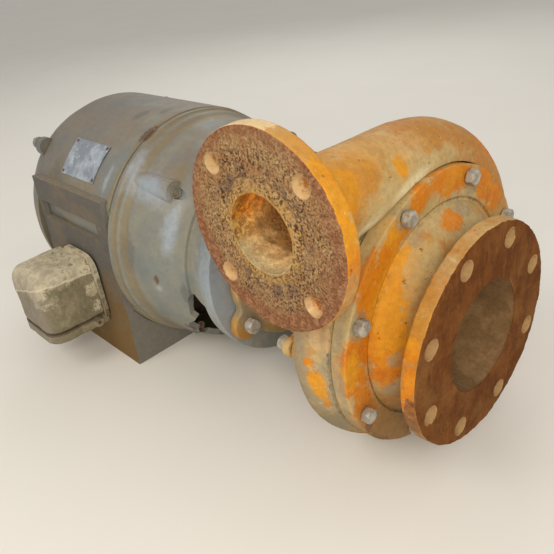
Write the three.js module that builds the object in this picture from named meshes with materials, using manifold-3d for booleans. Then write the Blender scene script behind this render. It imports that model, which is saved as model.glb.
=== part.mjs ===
// Close-coupled centrifugal pump: an end-suction volute casing with a tangential side
// discharge, bolted through a bracket to the face of an open electric motor on feet.
//
// Every shape is first set out from the shaft: x runs along the shaft and is 0 on the face
// of the suction flange, y and z are measured from the shaft. The whole pump is then moved
// so that the origin is at the middle of its footprint, on the floor. Millimetres, +Z up.
import * as THREE from 'three';
import { mergeVertices } from 'three/addons/utils/BufferGeometryUtils.js';
import Module from 'manifold-3d';

const wasm = await Module();
wasm.setup();

// Driving dimensions
const SHAFT_HEIGHT = 177.8;
const SEAT_GAP = 0.3;

// Sides of the faceted circles, from the largest castings down to the bolt shanks
const ROUND = 48;
const MID_ROUND = 30;
const SMALL_ROUND = 16;
const BOLT_ROUND = 10;

// The suction flange and its neck are cast off the centre of the casing, by y and z.
const SUCTION = { radius: 127, thick: 18, bore: 65, y: -5.85, z: -9.54 };
const SUCTION_HOLES = { boltRing: 106.4, count: 8, radius: 10.5, phase: 22.5 };
const NECK = { root: 92, radius: 84, back: -60 };
const DISCHARGE = { x: -106.2, y: -202.4, z: 165, radius: 95.25, thick: 19 };
const DISCHARGE_HOLES = { boltRing: 76.2, count: 4, radius: 9.5, phase: 45 };
const NOZZLE = { bore: 38.1, outer: 45, drop: 5 };

const PLATE = { front: -60, back: -80, radius: 161, dishRadius: 122, inside: -68 };
const PLATE_SCREWS = { boltRing: 147, count: 8, phase: 24, acrossFlats: 16, head: 9.5, shank: 19, hole: 7 };
const SCROLL = { x: -112, wall: 8, innerRadius: 96, crown: 0.85 };
// Stations round the scroll: angle from the top towards the discharge side, outer radius, half width
const SCROLL_STATIONS = [
  [35, 163, 25],
  [90, 168, 28],
  [135, 173, 31],
  [180, 177, 34],
  [225, 187, 38],
  [270, 197, 41],
  [315, 200, 43],
  [360, 204, 45],
];
const CASING = { back: -142, backRadius: 148, chamber: 112, wideChamber: 122 };

const BRACKET = { radius: 138, front: -142.3, back: -155, bore: 70, foot: 112 };
const BRACKET_NECK = { radius: 104, wall: 9, endRadius: 92, lead: 6 };
const BRACKET_WINDOW = { front: -178, back: -262, from: 50, to: 130 };
const CASING_JOINT = { boltRing: 147, bolts: 4, phase: 92, earRadius: 12, padDepth: 22 };
const CASING_BOLT = { acrossFlats: 15, head: 9 };
const MOTOR_JOINT = { boltRing: 114.3, bolts: 4, phase: 30, earRadius: 23, thick: 15 };
const MOTOR_BOLT = { acrossFlats: 19, head: 12 };
const JOINT_HOLE = 7;
const SHANK = 6.5;

const MOTOR_FACE = -295;
const FRAME = { front: -476, back: -696, radius: 175.5, flatHalf: 154, flatBottom: -165.5 };
// The side plates stand slightly outwards: half width at their top edge and at the floor
const SKIRT = { topOuter: 162, bottomOuter: 168, thick: 8, front: -484, back: -690, top: 92, plateThick: 9 };
const SKIRT_LIP = { depth: 16, thick: 7 };
const SKIRT_SLOT = { front: -512, back: -680, low: 27, high: 54 };
const FOOT = { width: 46, thick: 12, holeRadius: 7, holeInset: 28, holeLine: 141 };
const REAR_END = -826;
const UPPER_BOLTS = { angles: [44, 316], ring: 152, radius: 16, front: -380 };
const LOWER_BOLTS = { angles: [136, 224], ring: 146, radius: 14.5, front: -397 };
const BOSS = { back: -462, pad: 7.5, padHeight: 3, shank: 5.5, hole: 6, depth: 12, spotDepth: 14 };
const REAR_EAR = { ring: 172, radius: 15, depth: 17, nutRing: 179, nut: 10, nutDepth: 9 };
const CONDUIT = { front: -537, back: -660, top: -3, bottom: -121, outer: -265, corner: 27, plate: 6 };
const CONDUIT_SEAM = { above: 18, inset: 2 };
const NAMEPLATE = { front: -529, back: -621, from: 35, to: 54, thick: 1.2 };
const SHAFT_RADIUS = 24;
const IMPELLER = { radius: 110, eye: 58, hub: 24, front: -84, back: -134 };
const VANES = { count: 6, steps: 6, inner: 36, outer: 108, sweep: 70, rootWidth: 9, tipWidth: 4 };

// Materials
function paint(color, roughness = 0.6, metalness = 0.2) {
  return new THREE.MeshStandardMaterial({ color, roughness, metalness });
}

const finishes = {
  pump: paint(0xc98a3c),
  motor: paint(0x8d8f8a),
  conduit: paint(0xa79c84, 0.8, 0),
  bolt: paint(0x9c9788, 0.6, 0.5),
  rust: paint(0x6d4a30, 0.9, 0.3),
  plate: paint(0xc4c8cc, 0.35, 0.9),
  winding: paint(0x3a2418, 0.8, 0),
};

// Solids from three.js geometry, for joining and cutting
function solid(geometry) {
  const bare = geometry.clone();
  bare.deleteAttribute('normal');
  bare.deleteAttribute('uv');
  const welded = mergeVertices(bare, 1e-4);
  const corners = Array.from(welded.index.array);
  const kept = [];
  for (let i = 0; i < corners.length; i += 3) {
    const [a, b, c] = corners.slice(i, i + 3);
    if (a !== b && b !== c && c !== a) kept.push(a, b, c);
  }
  const build = (triangles) => new wasm.Manifold(new wasm.Mesh({
    numProp: 3,
    vertProperties: new Float32Array(welded.attributes.position.array),
    triVerts: new Uint32Array(triangles),
  }));
  const made = build(kept);
  if (made.volume() > 0) return made;
  const flipped = [];
  for (let i = 0; i < kept.length; i += 3) flipped.push(kept[i], kept[i + 2], kept[i + 1]);
  return build(flipped);
}

function geometryOf(shape) {
  const mesh = shape.getMesh();
  const geometry = new THREE.BufferGeometry();
  geometry.setAttribute('position', new THREE.BufferAttribute(new Float32Array(mesh.vertProperties), 3));
  geometry.setIndex(new THREE.BufferAttribute(new Uint32Array(mesh.triVerts), 1));
  geometry.computeVertexNormals();
  return geometry;
}

function join(...shapes) {
  return shapes.reduce((sum, shape) => sum.add(shape));
}

// Ring or disc turned about the shaft: the profile is a list of [x, radius]
function turned(profile, segments = ROUND) {
  const onAxis = profile[0][1] === 0 && profile[profile.length - 1][1] === 0;
  const points = profile.map(([x, r]) => new THREE.Vector2(r, x));
  if (!onAxis) points.push(points[0].clone());
  const geometry = new THREE.LatheGeometry(points, segments);
  geometry.rotateZ(-Math.PI / 2);
  return solid(geometry);
}

// Point at an angle from the top towards the discharge side
function around(radius, degrees) {
  const a = THREE.MathUtils.degToRad(degrees);
  return { y: -radius * Math.sin(a), z: radius * Math.cos(a) };
}

function rod(x0, x1, radius, y, z, segments = SMALL_ROUND) {
  const geometry = new THREE.CylinderGeometry(radius, radius, Math.abs(x1 - x0), segments);
  geometry.rotateZ(Math.PI / 2);
  geometry.translate((x0 + x1) / 2, y, z);
  return solid(geometry);
}

function rodAlongY(y0, y1, radius, x, z, segments = SMALL_ROUND) {
  const geometry = new THREE.CylinderGeometry(radius, radius, Math.abs(y1 - y0), segments);
  geometry.translate(x, (y0 + y1) / 2, z);
  return solid(geometry);
}

function rodAlongZ(z0, z1, radius, x, y, segments = SMALL_ROUND) {
  const geometry = new THREE.CylinderGeometry(radius, radius, Math.abs(z1 - z0), segments);
  geometry.rotateX(Math.PI / 2);
  geometry.translate(x, y, (z0 + z1) / 2);
  return solid(geometry);
}

function block(x0, x1, y0, y1, z0, z1) {
  const geometry = new THREE.BoxGeometry(Math.abs(x1 - x0), Math.abs(y1 - y0), Math.abs(z1 - z0));
  geometry.translate((x0 + x1) / 2, (y0 + y1) / 2, (z0 + z1) / 2);
  return solid(geometry);
}

// Block with all its edges rounded, made from a grid on a box drawn onto the rounded form
function roundedBlock(x0, x1, y0, y1, z0, z1, radius, steps) {
  const cells = 2 * steps + 1;
  const geometry = new THREE.BoxGeometry(1, 1, 1, cells, cells, cells);
  const position = geometry.attributes.position;
  const low = [x0, y0, z0];
  const high = [x1, y1, z1];
  for (let i = 0; i < position.count; i += 1) {
    const inner = new THREE.Vector3();
    const away = new THREE.Vector3();
    for (let axis = 0; axis < 3; axis += 1) {
      const index = Math.round((position.getComponent(i, axis) + 0.5) * cells);
      const near = low[axis] + (radius * index) / steps;
      const far = high[axis] - (radius * (cells - index)) / steps;
      const place = index <= steps ? near : far;
      const held = Math.min(Math.max(place, low[axis] + radius), high[axis] - radius);
      inner.setComponent(axis, held);
      away.setComponent(axis, place - held);
    }
    away.setLength(radius);
    position.setXYZ(i, inner.x + away.x, inner.y + away.y, inner.z + away.z);
  }
  return solid(geometry);
}

// Prism along the shaft with an outline of [y, z] points
function prism(outline, x0, x1) {
  const shape = new THREE.Shape(outline.map(([y, z]) => new THREE.Vector2(y, z)));
  const geometry = new THREE.ExtrudeGeometry(shape, { depth: Math.abs(x1 - x0), bevelEnabled: false });
  // The outline's x and y become y and z, and the depth becomes x.
  const turn = new THREE.Matrix4().set(0, 0, 1, Math.min(x0, x1), 1, 0, 0, 0, 0, 1, 0, 0, 0, 0, 0, 1);
  geometry.applyMatrix4(turn);
  return solid(geometry);
}

// Wedge of a ring between two angles
function wedge(x0, x1, fromAngle, toAngle, inner, outer) {
  const outline = [];
  const steps = 6;
  for (let i = 0; i <= steps; i += 1) {
    const p = around(outer, fromAngle + ((toAngle - fromAngle) * i) / steps);
    outline.push([p.y, p.z]);
  }
  for (let i = steps; i >= 0; i -= 1) {
    const p = around(inner, fromAngle + ((toAngle - fromAngle) * i) / steps);
    outline.push([p.y, p.z]);
  }
  return prism(outline, x0, x1);
}

// Bolt with its head on a face at faceX; direction is the way the head points along x
function hexBolt(faceX, direction, at, acrossFlats, head, shank) {
  const corner = acrossFlats / 2 / Math.cos(Math.PI / 6);
  const headPart = rod(faceX + direction * SEAT_GAP, faceX + direction * head, corner, at.y, at.z, 6);
  const shankPart = rod(faceX + direction, faceX - direction * shank, SHANK, at.y, at.z, BOLT_ROUND);
  return join(headPart, shankPart);
}

// Places of the bolts or holes of a ring
function ringPlaces(radius, count, phase) {
  return Array.from({ length: count }, (_, i) => around(radius, phase + (i * 360) / count));
}

const pump = new THREE.Group();

function addPiece(name, shape, material) {
  const piece = new THREE.Mesh(geometryOf(shape), material);
  piece.name = name;
  pump.add(piece);
}

// Suction cover: flange, short neck, dish and bolting ring in one casting
function suctionCover() {
  const { radius, thick, bore, y, z } = SUCTION;
  const core = bore / 2;
  const mouth = turned([
    [0, core],
    [0, radius],
    [-thick, radius + 1],
    [-thick - 1, NECK.root],
    [-thick - 6, NECK.radius],
    [NECK.back, NECK.radius],
    [NECK.back, core],
  ]).translate([0, y, z]);
  const dish = turned([
    [-26, core],
    [-26, 72],
    [-32, 90],
    [-42, 106],
    [-51, 116],
    [-61, PLATE.dishRadius],
    [PLATE.front, PLATE.dishRadius + 2.5],
    [PLATE.front, PLATE.radius - 2],
    [PLATE.front - 2, PLATE.radius],
    [PLATE.back, PLATE.radius],
    [PLATE.back, CASING.wideChamber],
    [PLATE.inside, 100],
    [PLATE.inside, core],
  ]);
  // The bore leans from the middle of the flange to the middle of the impeller eye.
  const reach = PLATE.inside - 5;
  const way = new THREE.CylinderGeometry(bore, IMPELLER.eye, -reach, MID_ROUND);
  way.rotateZ(-Math.PI / 2);
  way.translate(reach / 2, 0, 0);
  way.applyMatrix4(new THREE.Matrix4().set(1, 0, 0, 0, -y / reach, 1, 0, y, -z / reach, 0, 1, z, 0, 0, 0, 1));
  const mouthCut = rod(-1, 5, bore, y, z, MID_ROUND);
  let cover = join(mouth, dish).subtract(solid(way)).subtract(mouthCut);
  ringPlaces(SUCTION_HOLES.boltRing, SUCTION_HOLES.count, SUCTION_HOLES.phase).forEach((p) => {
    cover = cover.subtract(rod(5, -thick - 3, SUCTION_HOLES.radius, y + p.y, z + p.z));
  });
  ringPlaces(PLATE_SCREWS.boltRing, PLATE_SCREWS.count, PLATE_SCREWS.phase).forEach((p) => {
    cover = cover.subtract(rod(PLATE.front + 5, PLATE.back - 5, PLATE_SCREWS.hole, p.y, p.z, BOLT_ROUND));
  });
  addPiece('suction_cover', cover, finishes.pump);
}

// Value of one column of the scroll stations at an angle
function scrollValue(angle, column) {
  const a = Math.min(Math.max(angle, SCROLL_STATIONS[0][0]), 360);
  let i = 0;
  while (i < SCROLL_STATIONS.length - 2 && a > SCROLL_STATIONS[i + 1][0]) i += 1;
  const [from, to] = [SCROLL_STATIONS[i], SCROLL_STATIONS[i + 1]];
  const t = (a - from[0]) / (to[0] - from[0]);
  return from[column] + (to[column] - from[column]) * t;
}

// Stretch of the scroll between two angles: a rounded section, thinner by inset all round
function scrollStretch(fromAngle, toAngle, inset, steps) {
  const arcSteps = 8;
  const rings = [];
  for (let s = 0; s <= steps; s += 1) {
    const angle = fromAngle + ((toAngle - fromAngle) * s) / steps;
    const outer = scrollValue(angle, 1) - inset;
    const half = scrollValue(angle, 2) - inset;
    const crown = half * SCROLL.crown;
    const ring = [[SCROLL.x - half, SCROLL.innerRadius]];
    for (let k = 0; k <= arcSteps; k += 1) {
      const t = -Math.PI / 2 + (Math.PI * k) / arcSteps;
      ring.push([SCROLL.x + half * Math.sin(t), outer - crown + crown * Math.cos(t)]);
    }
    ring.push([SCROLL.x + half, SCROLL.innerRadius]);
    rings.push(ring.map(([x, r]) => {
      const p = around(r, angle);
      return [x, p.y, p.z];
    }));
  }
  const count = rings[0].length;
  const positions = rings.flat(2);
  const triangles = [];
  for (let s = 0; s < steps; s += 1) {
    for (let k = 0; k < count; k += 1) {
      const a = s * count + k;
      const b = s * count + ((k + 1) % count);
      triangles.push(a, b, a + count, b, b + count, a + count);
    }
  }
  const last = steps * count;
  for (let k = 1; k < count - 1; k += 1) {
    triangles.push(0, k + 1, k);
    triangles.push(last, last + k, last + k + 1);
  }
  const geometry = new THREE.BufferGeometry();
  geometry.setAttribute('position', new THREE.BufferAttribute(new Float32Array(positions), 3));
  geometry.setIndex(triangles);
  return solid(geometry);
}

// Pipe from the discharge flange back into the top of the scroll, leaning slightly down to it
function nozzleRod(radius, segments, fromY, toY) {
  const start = new THREE.Vector3(DISCHARGE.x, DISCHARGE.y, DISCHARGE.z);
  const end = new THREE.Vector3(SCROLL.x, 0, DISCHARGE.z - NOZZLE.drop);
  const along = end.clone().sub(start).normalize();
  const a = start.clone().addScaledVector(along, fromY - DISCHARGE.y);
  const b = start.clone().addScaledVector(along, toY - DISCHARGE.y);
  const geometry = new THREE.CylinderGeometry(radius, radius, a.distanceTo(b), segments);
  geometry.applyQuaternion(new THREE.Quaternion().setFromUnitVectors(new THREE.Vector3(0, 1, 0), along));
  geometry.translate((a.x + b.x) / 2, (a.y + b.y) / 2, (a.z + b.z) / 2);
  return solid(geometry);
}

// Volute casing: scroll, discharge nozzle and discharge flange in one casting
function voluteCasing() {
  const start = SCROLL_STATIONS[0][0];
  const half = 215;
  const overlap = 4;
  const { x, y, z, radius, thick } = DISCHARGE;
  const seat = PLATE.back - SEAT_GAP;
  const joints = ringPlaces(CASING_JOINT.boltRing, CASING_JOINT.bolts, CASING_JOINT.phase);
  const padEnd = CASING.back + CASING_JOINT.padDepth;
  const back = turned([
    [CASING.back, 60],
    [CASING.back, CASING.backRadius],
    [seat, PLATE.radius + 2],
    [seat, 60],
  ]);
  let casing = join(
    scrollStretch(start, half, 0, 14),
    scrollStretch(half - overlap, 362, 0, 13),
    back,
    nozzleRod(NOZZLE.outer, MID_ROUND, y + 8, 4),
    rodAlongY(y, y + thick, radius, x, z, ROUND),
    ...joints.map((p) => rod(CASING.back, padEnd, CASING_JOINT.earRadius, p.y, p.z)),
  );
  // The suction cover sits in a round recess in the front, and the bracket in one at the back.
  const recess = PLATE.radius + 1;
  casing = casing.subtract(turned([[seat, 0], [seat, recess], [5, recess], [5, 0]]));
  const backRecess = BRACKET.radius + 1;
  casing = casing.subtract(turned([
    [CASING.back, 0],
    [CASING.back, backRecess],
    [-200, backRecess],
    [-200, 0],
  ]));
  joints.forEach((p) => {
    casing = casing.subtract(rod(CASING.back, -200, CASING_JOINT.earRadius + 1, p.y, p.z));
    casing = casing.subtract(rod(CASING.back - 5, CASING.back + 7, JOINT_HOLE, p.y, p.z, BOLT_ROUND));
  });
  // Water way: impeller chamber, scroll passage and nozzle bore
  casing = casing.subtract(turned([
    [CASING.back - 5, 0],
    [CASING.back - 5, CASING.chamber],
    [PLATE.back + 5, CASING.wideChamber],
    [PLATE.back + 5, 0],
  ]));
  const passage = join(
    scrollStretch(start + 14, half, SCROLL.wall, 10),
    scrollStretch(half - overlap, 352, SCROLL.wall, 9),
  );
  const walled = block(CASING.back + SCROLL.wall, 0, -300, 300, -300, 300);
  casing = casing.subtract(passage.intersect(walled));
  casing = casing.subtract(nozzleRod(NOZZLE.bore, MID_ROUND, y - 6, 0));
  ringPlaces(DISCHARGE_HOLES.boltRing, DISCHARGE_HOLES.count, DISCHARGE_HOLES.phase).forEach((p) => {
    casing = casing.subtract(rodAlongY(y - 5, y + thick + 3, DISCHARGE_HOLES.radius, x + p.y, z + p.z));
  });
  addPiece('volute_casing', casing, finishes.pump);
}

function coverScrews() {
  const { boltRing, count, phase, acrossFlats, head, shank } = PLATE_SCREWS;
  ringPlaces(boltRing, count, phase).forEach((p, i) => {
    addPiece(`cover_screw_${i + 1}`, hexBolt(PLATE.front, 1, p, acrossFlats, head, shank), finishes.bolt);
  });
}

// Impeller: two shrouds with curved vanes between them, open at the eye
function impeller() {
  const { radius, eye, hub, front, back } = IMPELLER;
  const backShroud = turned([
    [back, 0],
    [back, radius],
    [back + 7, radius],
    [back + 12, hub + 10],
    [front - 4, hub],
    [front - 4, 0],
  ], MID_ROUND);
  const frontShroud = turned([
    [front, eye - 6],
    [front, eye],
    [front - 12, eye + 3],
    [front - 22, radius],
    [front - 28, radius],
    [front - 18, eye - 4],
  ], MID_ROUND);
  let wheel = backShroud.add(frontShroud);
  for (let i = 0; i < VANES.count; i += 1) {
    const leading = [];
    const trailing = [];
    for (let k = 0; k <= VANES.steps; k += 1) {
      const t = k / VANES.steps;
      const r = VANES.inner + (VANES.outer - VANES.inner) * t;
      const angle = (i * 360) / VANES.count - VANES.sweep * t;
      const p = around(r, angle);
      const q = around(r, angle + VANES.rootWidth + (VANES.tipWidth - VANES.rootWidth) * t);
      leading.push([p.y, p.z]);
      trailing.unshift([q.y, q.z]);
    }
    wheel = wheel.add(prism(leading.concat(trailing), back + 5, front - 25));
  }
  // Blind hole for the nut on the end of the shaft
  addPiece('impeller', wheel.subtract(rod(front - 14, front + 5, 15, 0, 0, SMALL_ROUND)), finishes.rust);
}

// Bracket between the casing and the motor, with two side windows over the shaft
function bracket() {
  const earFront = MOTOR_FACE + MOTOR_JOINT.thick;
  const seat = MOTOR_FACE + SEAT_GAP;
  const { radius, wall, endRadius, lead } = BRACKET_NECK;
  let body = turned([
    [BRACKET.front, BRACKET.bore],
    [BRACKET.front, BRACKET.radius],
    [BRACKET.back, BRACKET.radius],
    [BRACKET.back, radius + lead],
    [BRACKET.back - lead, radius],
    [earFront + lead, endRadius],
    [earFront, endRadius + lead],
    [earFront, BRACKET.foot],
    [seat, BRACKET.foot],
    [seat, endRadius - wall],
    [BRACKET.back - lead, radius - wall],
    [BRACKET.back, radius - wall - lead],
    [BRACKET.back, BRACKET.bore],
  ], MID_ROUND);
  const casingEars = ringPlaces(CASING_JOINT.boltRing, CASING_JOINT.bolts, CASING_JOINT.phase);
  const motorEars = ringPlaces(MOTOR_JOINT.boltRing, MOTOR_JOINT.bolts, MOTOR_JOINT.phase);
  casingEars.forEach((p) => {
    body = body.add(rod(BRACKET.front, BRACKET.back, CASING_JOINT.earRadius, p.y, p.z));
  });
  motorEars.forEach((p) => {
    body = body.add(rod(earFront, seat, MOTOR_JOINT.earRadius, p.y, p.z, SMALL_ROUND));
  });
  const { front, back, from, to } = BRACKET_WINDOW;
  for (const turn of [0, 180]) {
    body = body.subtract(wedge(front, back, from + turn, to + turn, 40, 130));
  }
  casingEars.forEach((p) => {
    body = body.subtract(rod(BRACKET.front + 5, BRACKET.back - 5, JOINT_HOLE, p.y, p.z, BOLT_ROUND));
  });
  motorEars.forEach((p) => {
    body = body.subtract(rod(earFront + 5, MOTOR_FACE - 5, JOINT_HOLE, p.y, p.z, BOLT_ROUND));
  });
  addPiece('bracket', body, finishes.pump);
}

function bracketBolts() {
  const earFront = MOTOR_FACE + MOTOR_JOINT.thick;
  const shortShank = MOTOR_JOINT.thick - 1;
  ringPlaces(MOTOR_JOINT.boltRing, MOTOR_JOINT.bolts, MOTOR_JOINT.phase).forEach((p, i) => {
    const bolt = hexBolt(earFront, 1, p, MOTOR_BOLT.acrossFlats, MOTOR_BOLT.head, shortShank);
    addPiece(`bracket_bolt_${i + 1}`, bolt, finishes.bolt);
  });
  const longShank = BRACKET.front - BRACKET.back + 6;
  ringPlaces(CASING_JOINT.boltRing, CASING_JOINT.bolts, CASING_JOINT.phase).forEach((p, i) => {
    const bolt = hexBolt(BRACKET.back, -1, p, CASING_BOLT.acrossFlats, CASING_BOLT.head, longShank);
    addPiece(`casing_bolt_${i + 1}`, bolt, finishes.bolt);
  });
}

function shaftAndSeal() {
  const seat = BRACKET.back - SEAT_GAP;
  const fit = SHAFT_RADIUS + SEAT_GAP;
  const housing = turned([
    [seat, fit],
    [seat, 78],
    [seat - 12, 78],
    [seat - 14, 46],
    [seat - 34, 42],
    [seat - 34, fit],
  ], MID_ROUND);
  addPiece('seal_housing', housing, finishes.rust);
  const shaft = rod(IMPELLER.back - SEAT_GAP, FRAME.front + SEAT_GAP, SHAFT_RADIUS, 0, 0, MID_ROUND);
  addPiece('shaft', shaft, finishes.rust);
}

// Motor end bell on the pump side: hollow, with torn ventilation openings low on both sides
function frontBell() {
  const rim = FRAME.front + SEAT_GAP;
  const outside = [
    [rim, 173.5],
    [-467, 173.5],
    [-465, 170.5],
    [-455, 170.5],
    [-446, 164],
    [-405, 159],
    [-386, 154],
    [-372, 147],
    [-358, 142],
    [-345, 140],
    [-344, 134.5],
    [-318, 134.5],
    [-317, 140],
    [MOTOR_FACE, 140],
  ];
  const hub = [
    [MOTOR_FACE, SHAFT_RADIUS + 1],
    [-340, SHAFT_RADIUS + 1],
    [-340, 52],
    [-312, 58],
    [-306, 126],
  ];
  const inside = [
    [-345, 126],
    [-358, 133],
    [-376, 139],
    [-395, 147],
    [-430, 154],
    [rim, 156],
  ];
  const bosses = [UPPER_BOLTS, LOWER_BOLTS].flatMap(({ angles, ring, radius, front }) => (
    angles.map((angle) => ({ at: around(ring, angle), radius, front }))
  ));
  let bell = turned([...outside, ...hub, ...inside]);
  // The bosses end halfway through the wall.
  const hollow = turned([
    [BOSS.back - 5, 0],
    [BOSS.back - 5, 158],
    [-446, 158],
    [-405, 152.5],
    [-386, 148],
    [-372, 142],
    [-350, 136],
    [-350, 0],
  ], MID_ROUND);
  bosses.forEach(({ at, radius, front }) => {
    bell = bell.add(rod(BOSS.back, front, radius, at.y, at.z).subtract(hollow));
  });
  bosses.forEach(({ at, front }) => {
    bell = bell.subtract(rod(front - BOSS.depth, front + 5, BOSS.hole, at.y, at.z, BOLT_ROUND));
    bell = bell.subtract(rod(front, front + BOSS.spotDepth, BOSS.pad + 1, at.y, at.z));
  });
  // Torn opening: front edge straight, rear edge in steps; [rear x, from angle, to angle]
  const tornSteps = [
    [-350, 101, 113],
    [-386, 112, 147],
    [-379, 145, 153],
    [-394, 151, 166],
  ];
  for (const [x, from, to] of tornSteps) {
    bell = bell.subtract(wedge(x, -318, from, to, 110, 190));
    bell = bell.subtract(wedge(x, -318, 360 - to, 360 - from, 110, 190));
  }
  addPiece('front_bell', bell, finishes.motor);
  bosses.forEach(({ at, front }, i) => {
    const pad = rod(front + SEAT_GAP, front + BOSS.padHeight, BOSS.pad, at.y, at.z);
    const shank = rod(front + 1, front - BOSS.depth + 2, BOSS.shank, at.y, at.z, BOLT_ROUND);
    addPiece(`through_bolt_${i + 1}`, join(pad, shank), finishes.motor);
  });
  addPiece('end_winding', turned([
    [FRAME.front + SEAT_GAP, 96],
    [FRAME.front + SEAT_GAP, 140],
    [-452, 144],
    [-436, 136],
    [-430, 118],
    [-436, 100],
  ], MID_ROUND), finishes.winding);
}

// Stator frame: a round shell, flat at both sides behind the base's side plates and underneath
function statorFrame() {
  const { front, back, radius, flatHalf, flatBottom } = FRAME;
  const shell = turned([
    [front, 0],
    [front, radius - 1],
    [front - 2, radius],
    [back + 3, radius],
    [back, radius - 3],
    [back, 0],
  ]);
  const flats = block(front + 10, back - 10, -flatHalf, flatHalf, flatBottom, 200);
  addPiece('stator_frame', shell.intersect(flats), finishes.motor);
}

// Outside of a side plate: half width at a height
function skirtOuter(z) {
  const t = (SKIRT.top - z) / (SKIRT.top + SHAFT_HEIGHT);
  return SKIRT.topOuter + (SKIRT.bottomOuter - SKIRT.topOuter) * t;
}

// Base: a plate across each end, a plate along each side, and the soles
function motorBase() {
  const bottom = -SHAFT_HEIGHT;
  const { topOuter, bottomOuter, thick, front, back, top, plateThick } = SKIRT;
  const reach = FRAME.radius + SEAT_GAP;
  const flat = FRAME.flatHalf + SEAT_GAP;
  const round = turned([[-470, 0], [-470, reach], [-710, reach], [-710, 0]]);
  const room = round.intersect(block(-470, -710, -flat, flat, FRAME.flatBottom - SEAT_GAP, 200));
  const across = [[-bottomOuter, bottom], [bottomOuter, bottom], [topOuter, top], [-topOuter, top]];
  addPiece('front_foot', prism(across, front, front - plateThick).subtract(room), finishes.motor);
  addPiece('rear_foot', prism(across, back + plateThick, back).subtract(room), finishes.motor);
  const sideFront = front - plateThick - SEAT_GAP;
  const sideBack = back + plateThick + SEAT_GAP;
  for (const [name, side] of [['left_side_plate', -1], ['right_side_plate', 1]]) {
    const section = [
      [bottomOuter, bottom],
      [topOuter, top],
      [topOuter - SKIRT_LIP.depth, top],
      [topOuter - SKIRT_LIP.depth, top - SKIRT_LIP.thick],
      [topOuter - thick, top - SKIRT_LIP.thick],
      [bottomOuter - thick, bottom + FOOT.thick],
      [bottomOuter - FOOT.width, bottom + FOOT.thick],
      [bottomOuter - FOOT.width, bottom],
    ];
    let plate = prism(section.map(([y, z]) => [side * y, z]), sideFront, sideBack).subtract(room);
    plate = plate.subtract(block(
      SKIRT_SLOT.front, SKIRT_SLOT.back, side * (topOuter - 2 * thick), side * (bottomOuter + thick),
      SKIRT_SLOT.low, SKIRT_SLOT.high,
    ));
    for (const x of [sideFront - FOOT.holeInset, sideBack + FOOT.holeInset]) {
      const top = bottom + FOOT.thick + 5;
      plate = plate.subtract(rodAlongZ(bottom - 5, top, FOOT.holeRadius, x, side * FOOT.holeLine));
    }
    addPiece(name, plate, finishes.motor);
  }
}

function rearBell() {
  const seat = FRAME.back - SEAT_GAP;
  let bell = turned([
    [seat, 0],
    [seat, 170],
    [-714, 168],
    [-735, 161],
    [-762, 148],
    [-790, 129],
    [-812, 108],
    [-822, 88],
    [REAR_END, 70],
    [REAR_END, 0],
  ]);
  const angles = UPPER_BOLTS.angles.concat(LOWER_BOLTS.angles);
  const earEnd = seat - REAR_EAR.depth;
  angles.forEach((angle) => {
    const p = around(REAR_EAR.ring, angle);
    bell = bell.add(rod(seat, earEnd, REAR_EAR.radius, p.y, p.z));
  });
  addPiece('rear_bell', bell, finishes.motor);
  angles.forEach((angle, i) => {
    const p = around(REAR_EAR.nutRing, angle);
    const nut = rod(earEnd - SEAT_GAP, earEnd - REAR_EAR.nutDepth, REAR_EAR.nut, p.y, p.z, 6);
    addPiece(`rear_nut_${i + 1}`, nut, finishes.motor);
  });
}

// Conduit box on the discharge side of the motor: a base on the side plate and a deep cover
function conduitBox() {
  const { front, back, top, bottom, outer, corner, plate } = CONDUIT;
  const { inset } = CONDUIT_SEAM;
  const seam = bottom + CONDUIT_SEAM.above;
  const wallTop = -skirtOuter(top) - SEAT_GAP;
  const wallBottom = -skirtOuter(bottom) - SEAT_GAP;
  // The rounded block runs on past the wall and is cut off there.
  const past = wallTop + 2 * corner;
  const shell = roundedBlock(back, front, outer, past, bottom, top, corner, 4);
  const lowShell = roundedBlock(
    back + inset, front - inset, outer + inset, past, bottom + inset, top, corner, 4,
  );
  const under = lowShell.intersect(block(front + 5, back - 5, outer - 5, past, bottom - 5, seam));
  const backPlate = block(front + 3, back - 3, wallTop - plate, past, bottom + corner / 2, top + 3);
  const outline = (offset) => [
    [outer - 5, bottom - 5],
    [wallBottom - offset, bottom - 5],
    [wallTop - offset, top + 5],
    [outer - 5, top + 5],
  ];
  const base = join(under, backPlate).intersect(prism(outline(0), front + 5, back - 5));
  const cover = shell.intersect(prism(outline(plate + SEAT_GAP), front + 5, back - 5))
    .intersect(block(front + 5, back - 5, outer - 5, past, seam + SEAT_GAP, top + 5));
  addPiece('conduit_base', base, finishes.conduit);
  addPiece('conduit_cover', cover.subtract(backPlate.translate([0, -SEAT_GAP, 0])), finishes.conduit);
}

function nameplate() {
  const inner = FRAME.radius + SEAT_GAP;
  const { front, back, from, to, thick } = NAMEPLATE;
  addPiece('nameplate', wedge(front, back, from, to, inner, inner + thick), finishes.plate);
}

suctionCover();
coverScrews();
voluteCasing();
impeller();
bracket();
bracketBolts();
shaftAndSeal();
frontBell();
statorFrame();
motorBase();
rearBell();
conduitBox();
nameplate();

// The origin is the middle of the footprint, on the floor under the soles.
const bounds = new THREE.Box3().setFromObject(pump);
const middle = bounds.getCenter(new THREE.Vector3());
const group = new THREE.Group();
pump.position.set(-middle.x, -middle.y, SHAFT_HEIGHT);
group.add(pump);

export default group;
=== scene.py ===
import math
from types import SimpleNamespace as Sizes

import bmesh
import bpy
import numpy as np
from mathutils import Matrix, Vector, noise


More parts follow.
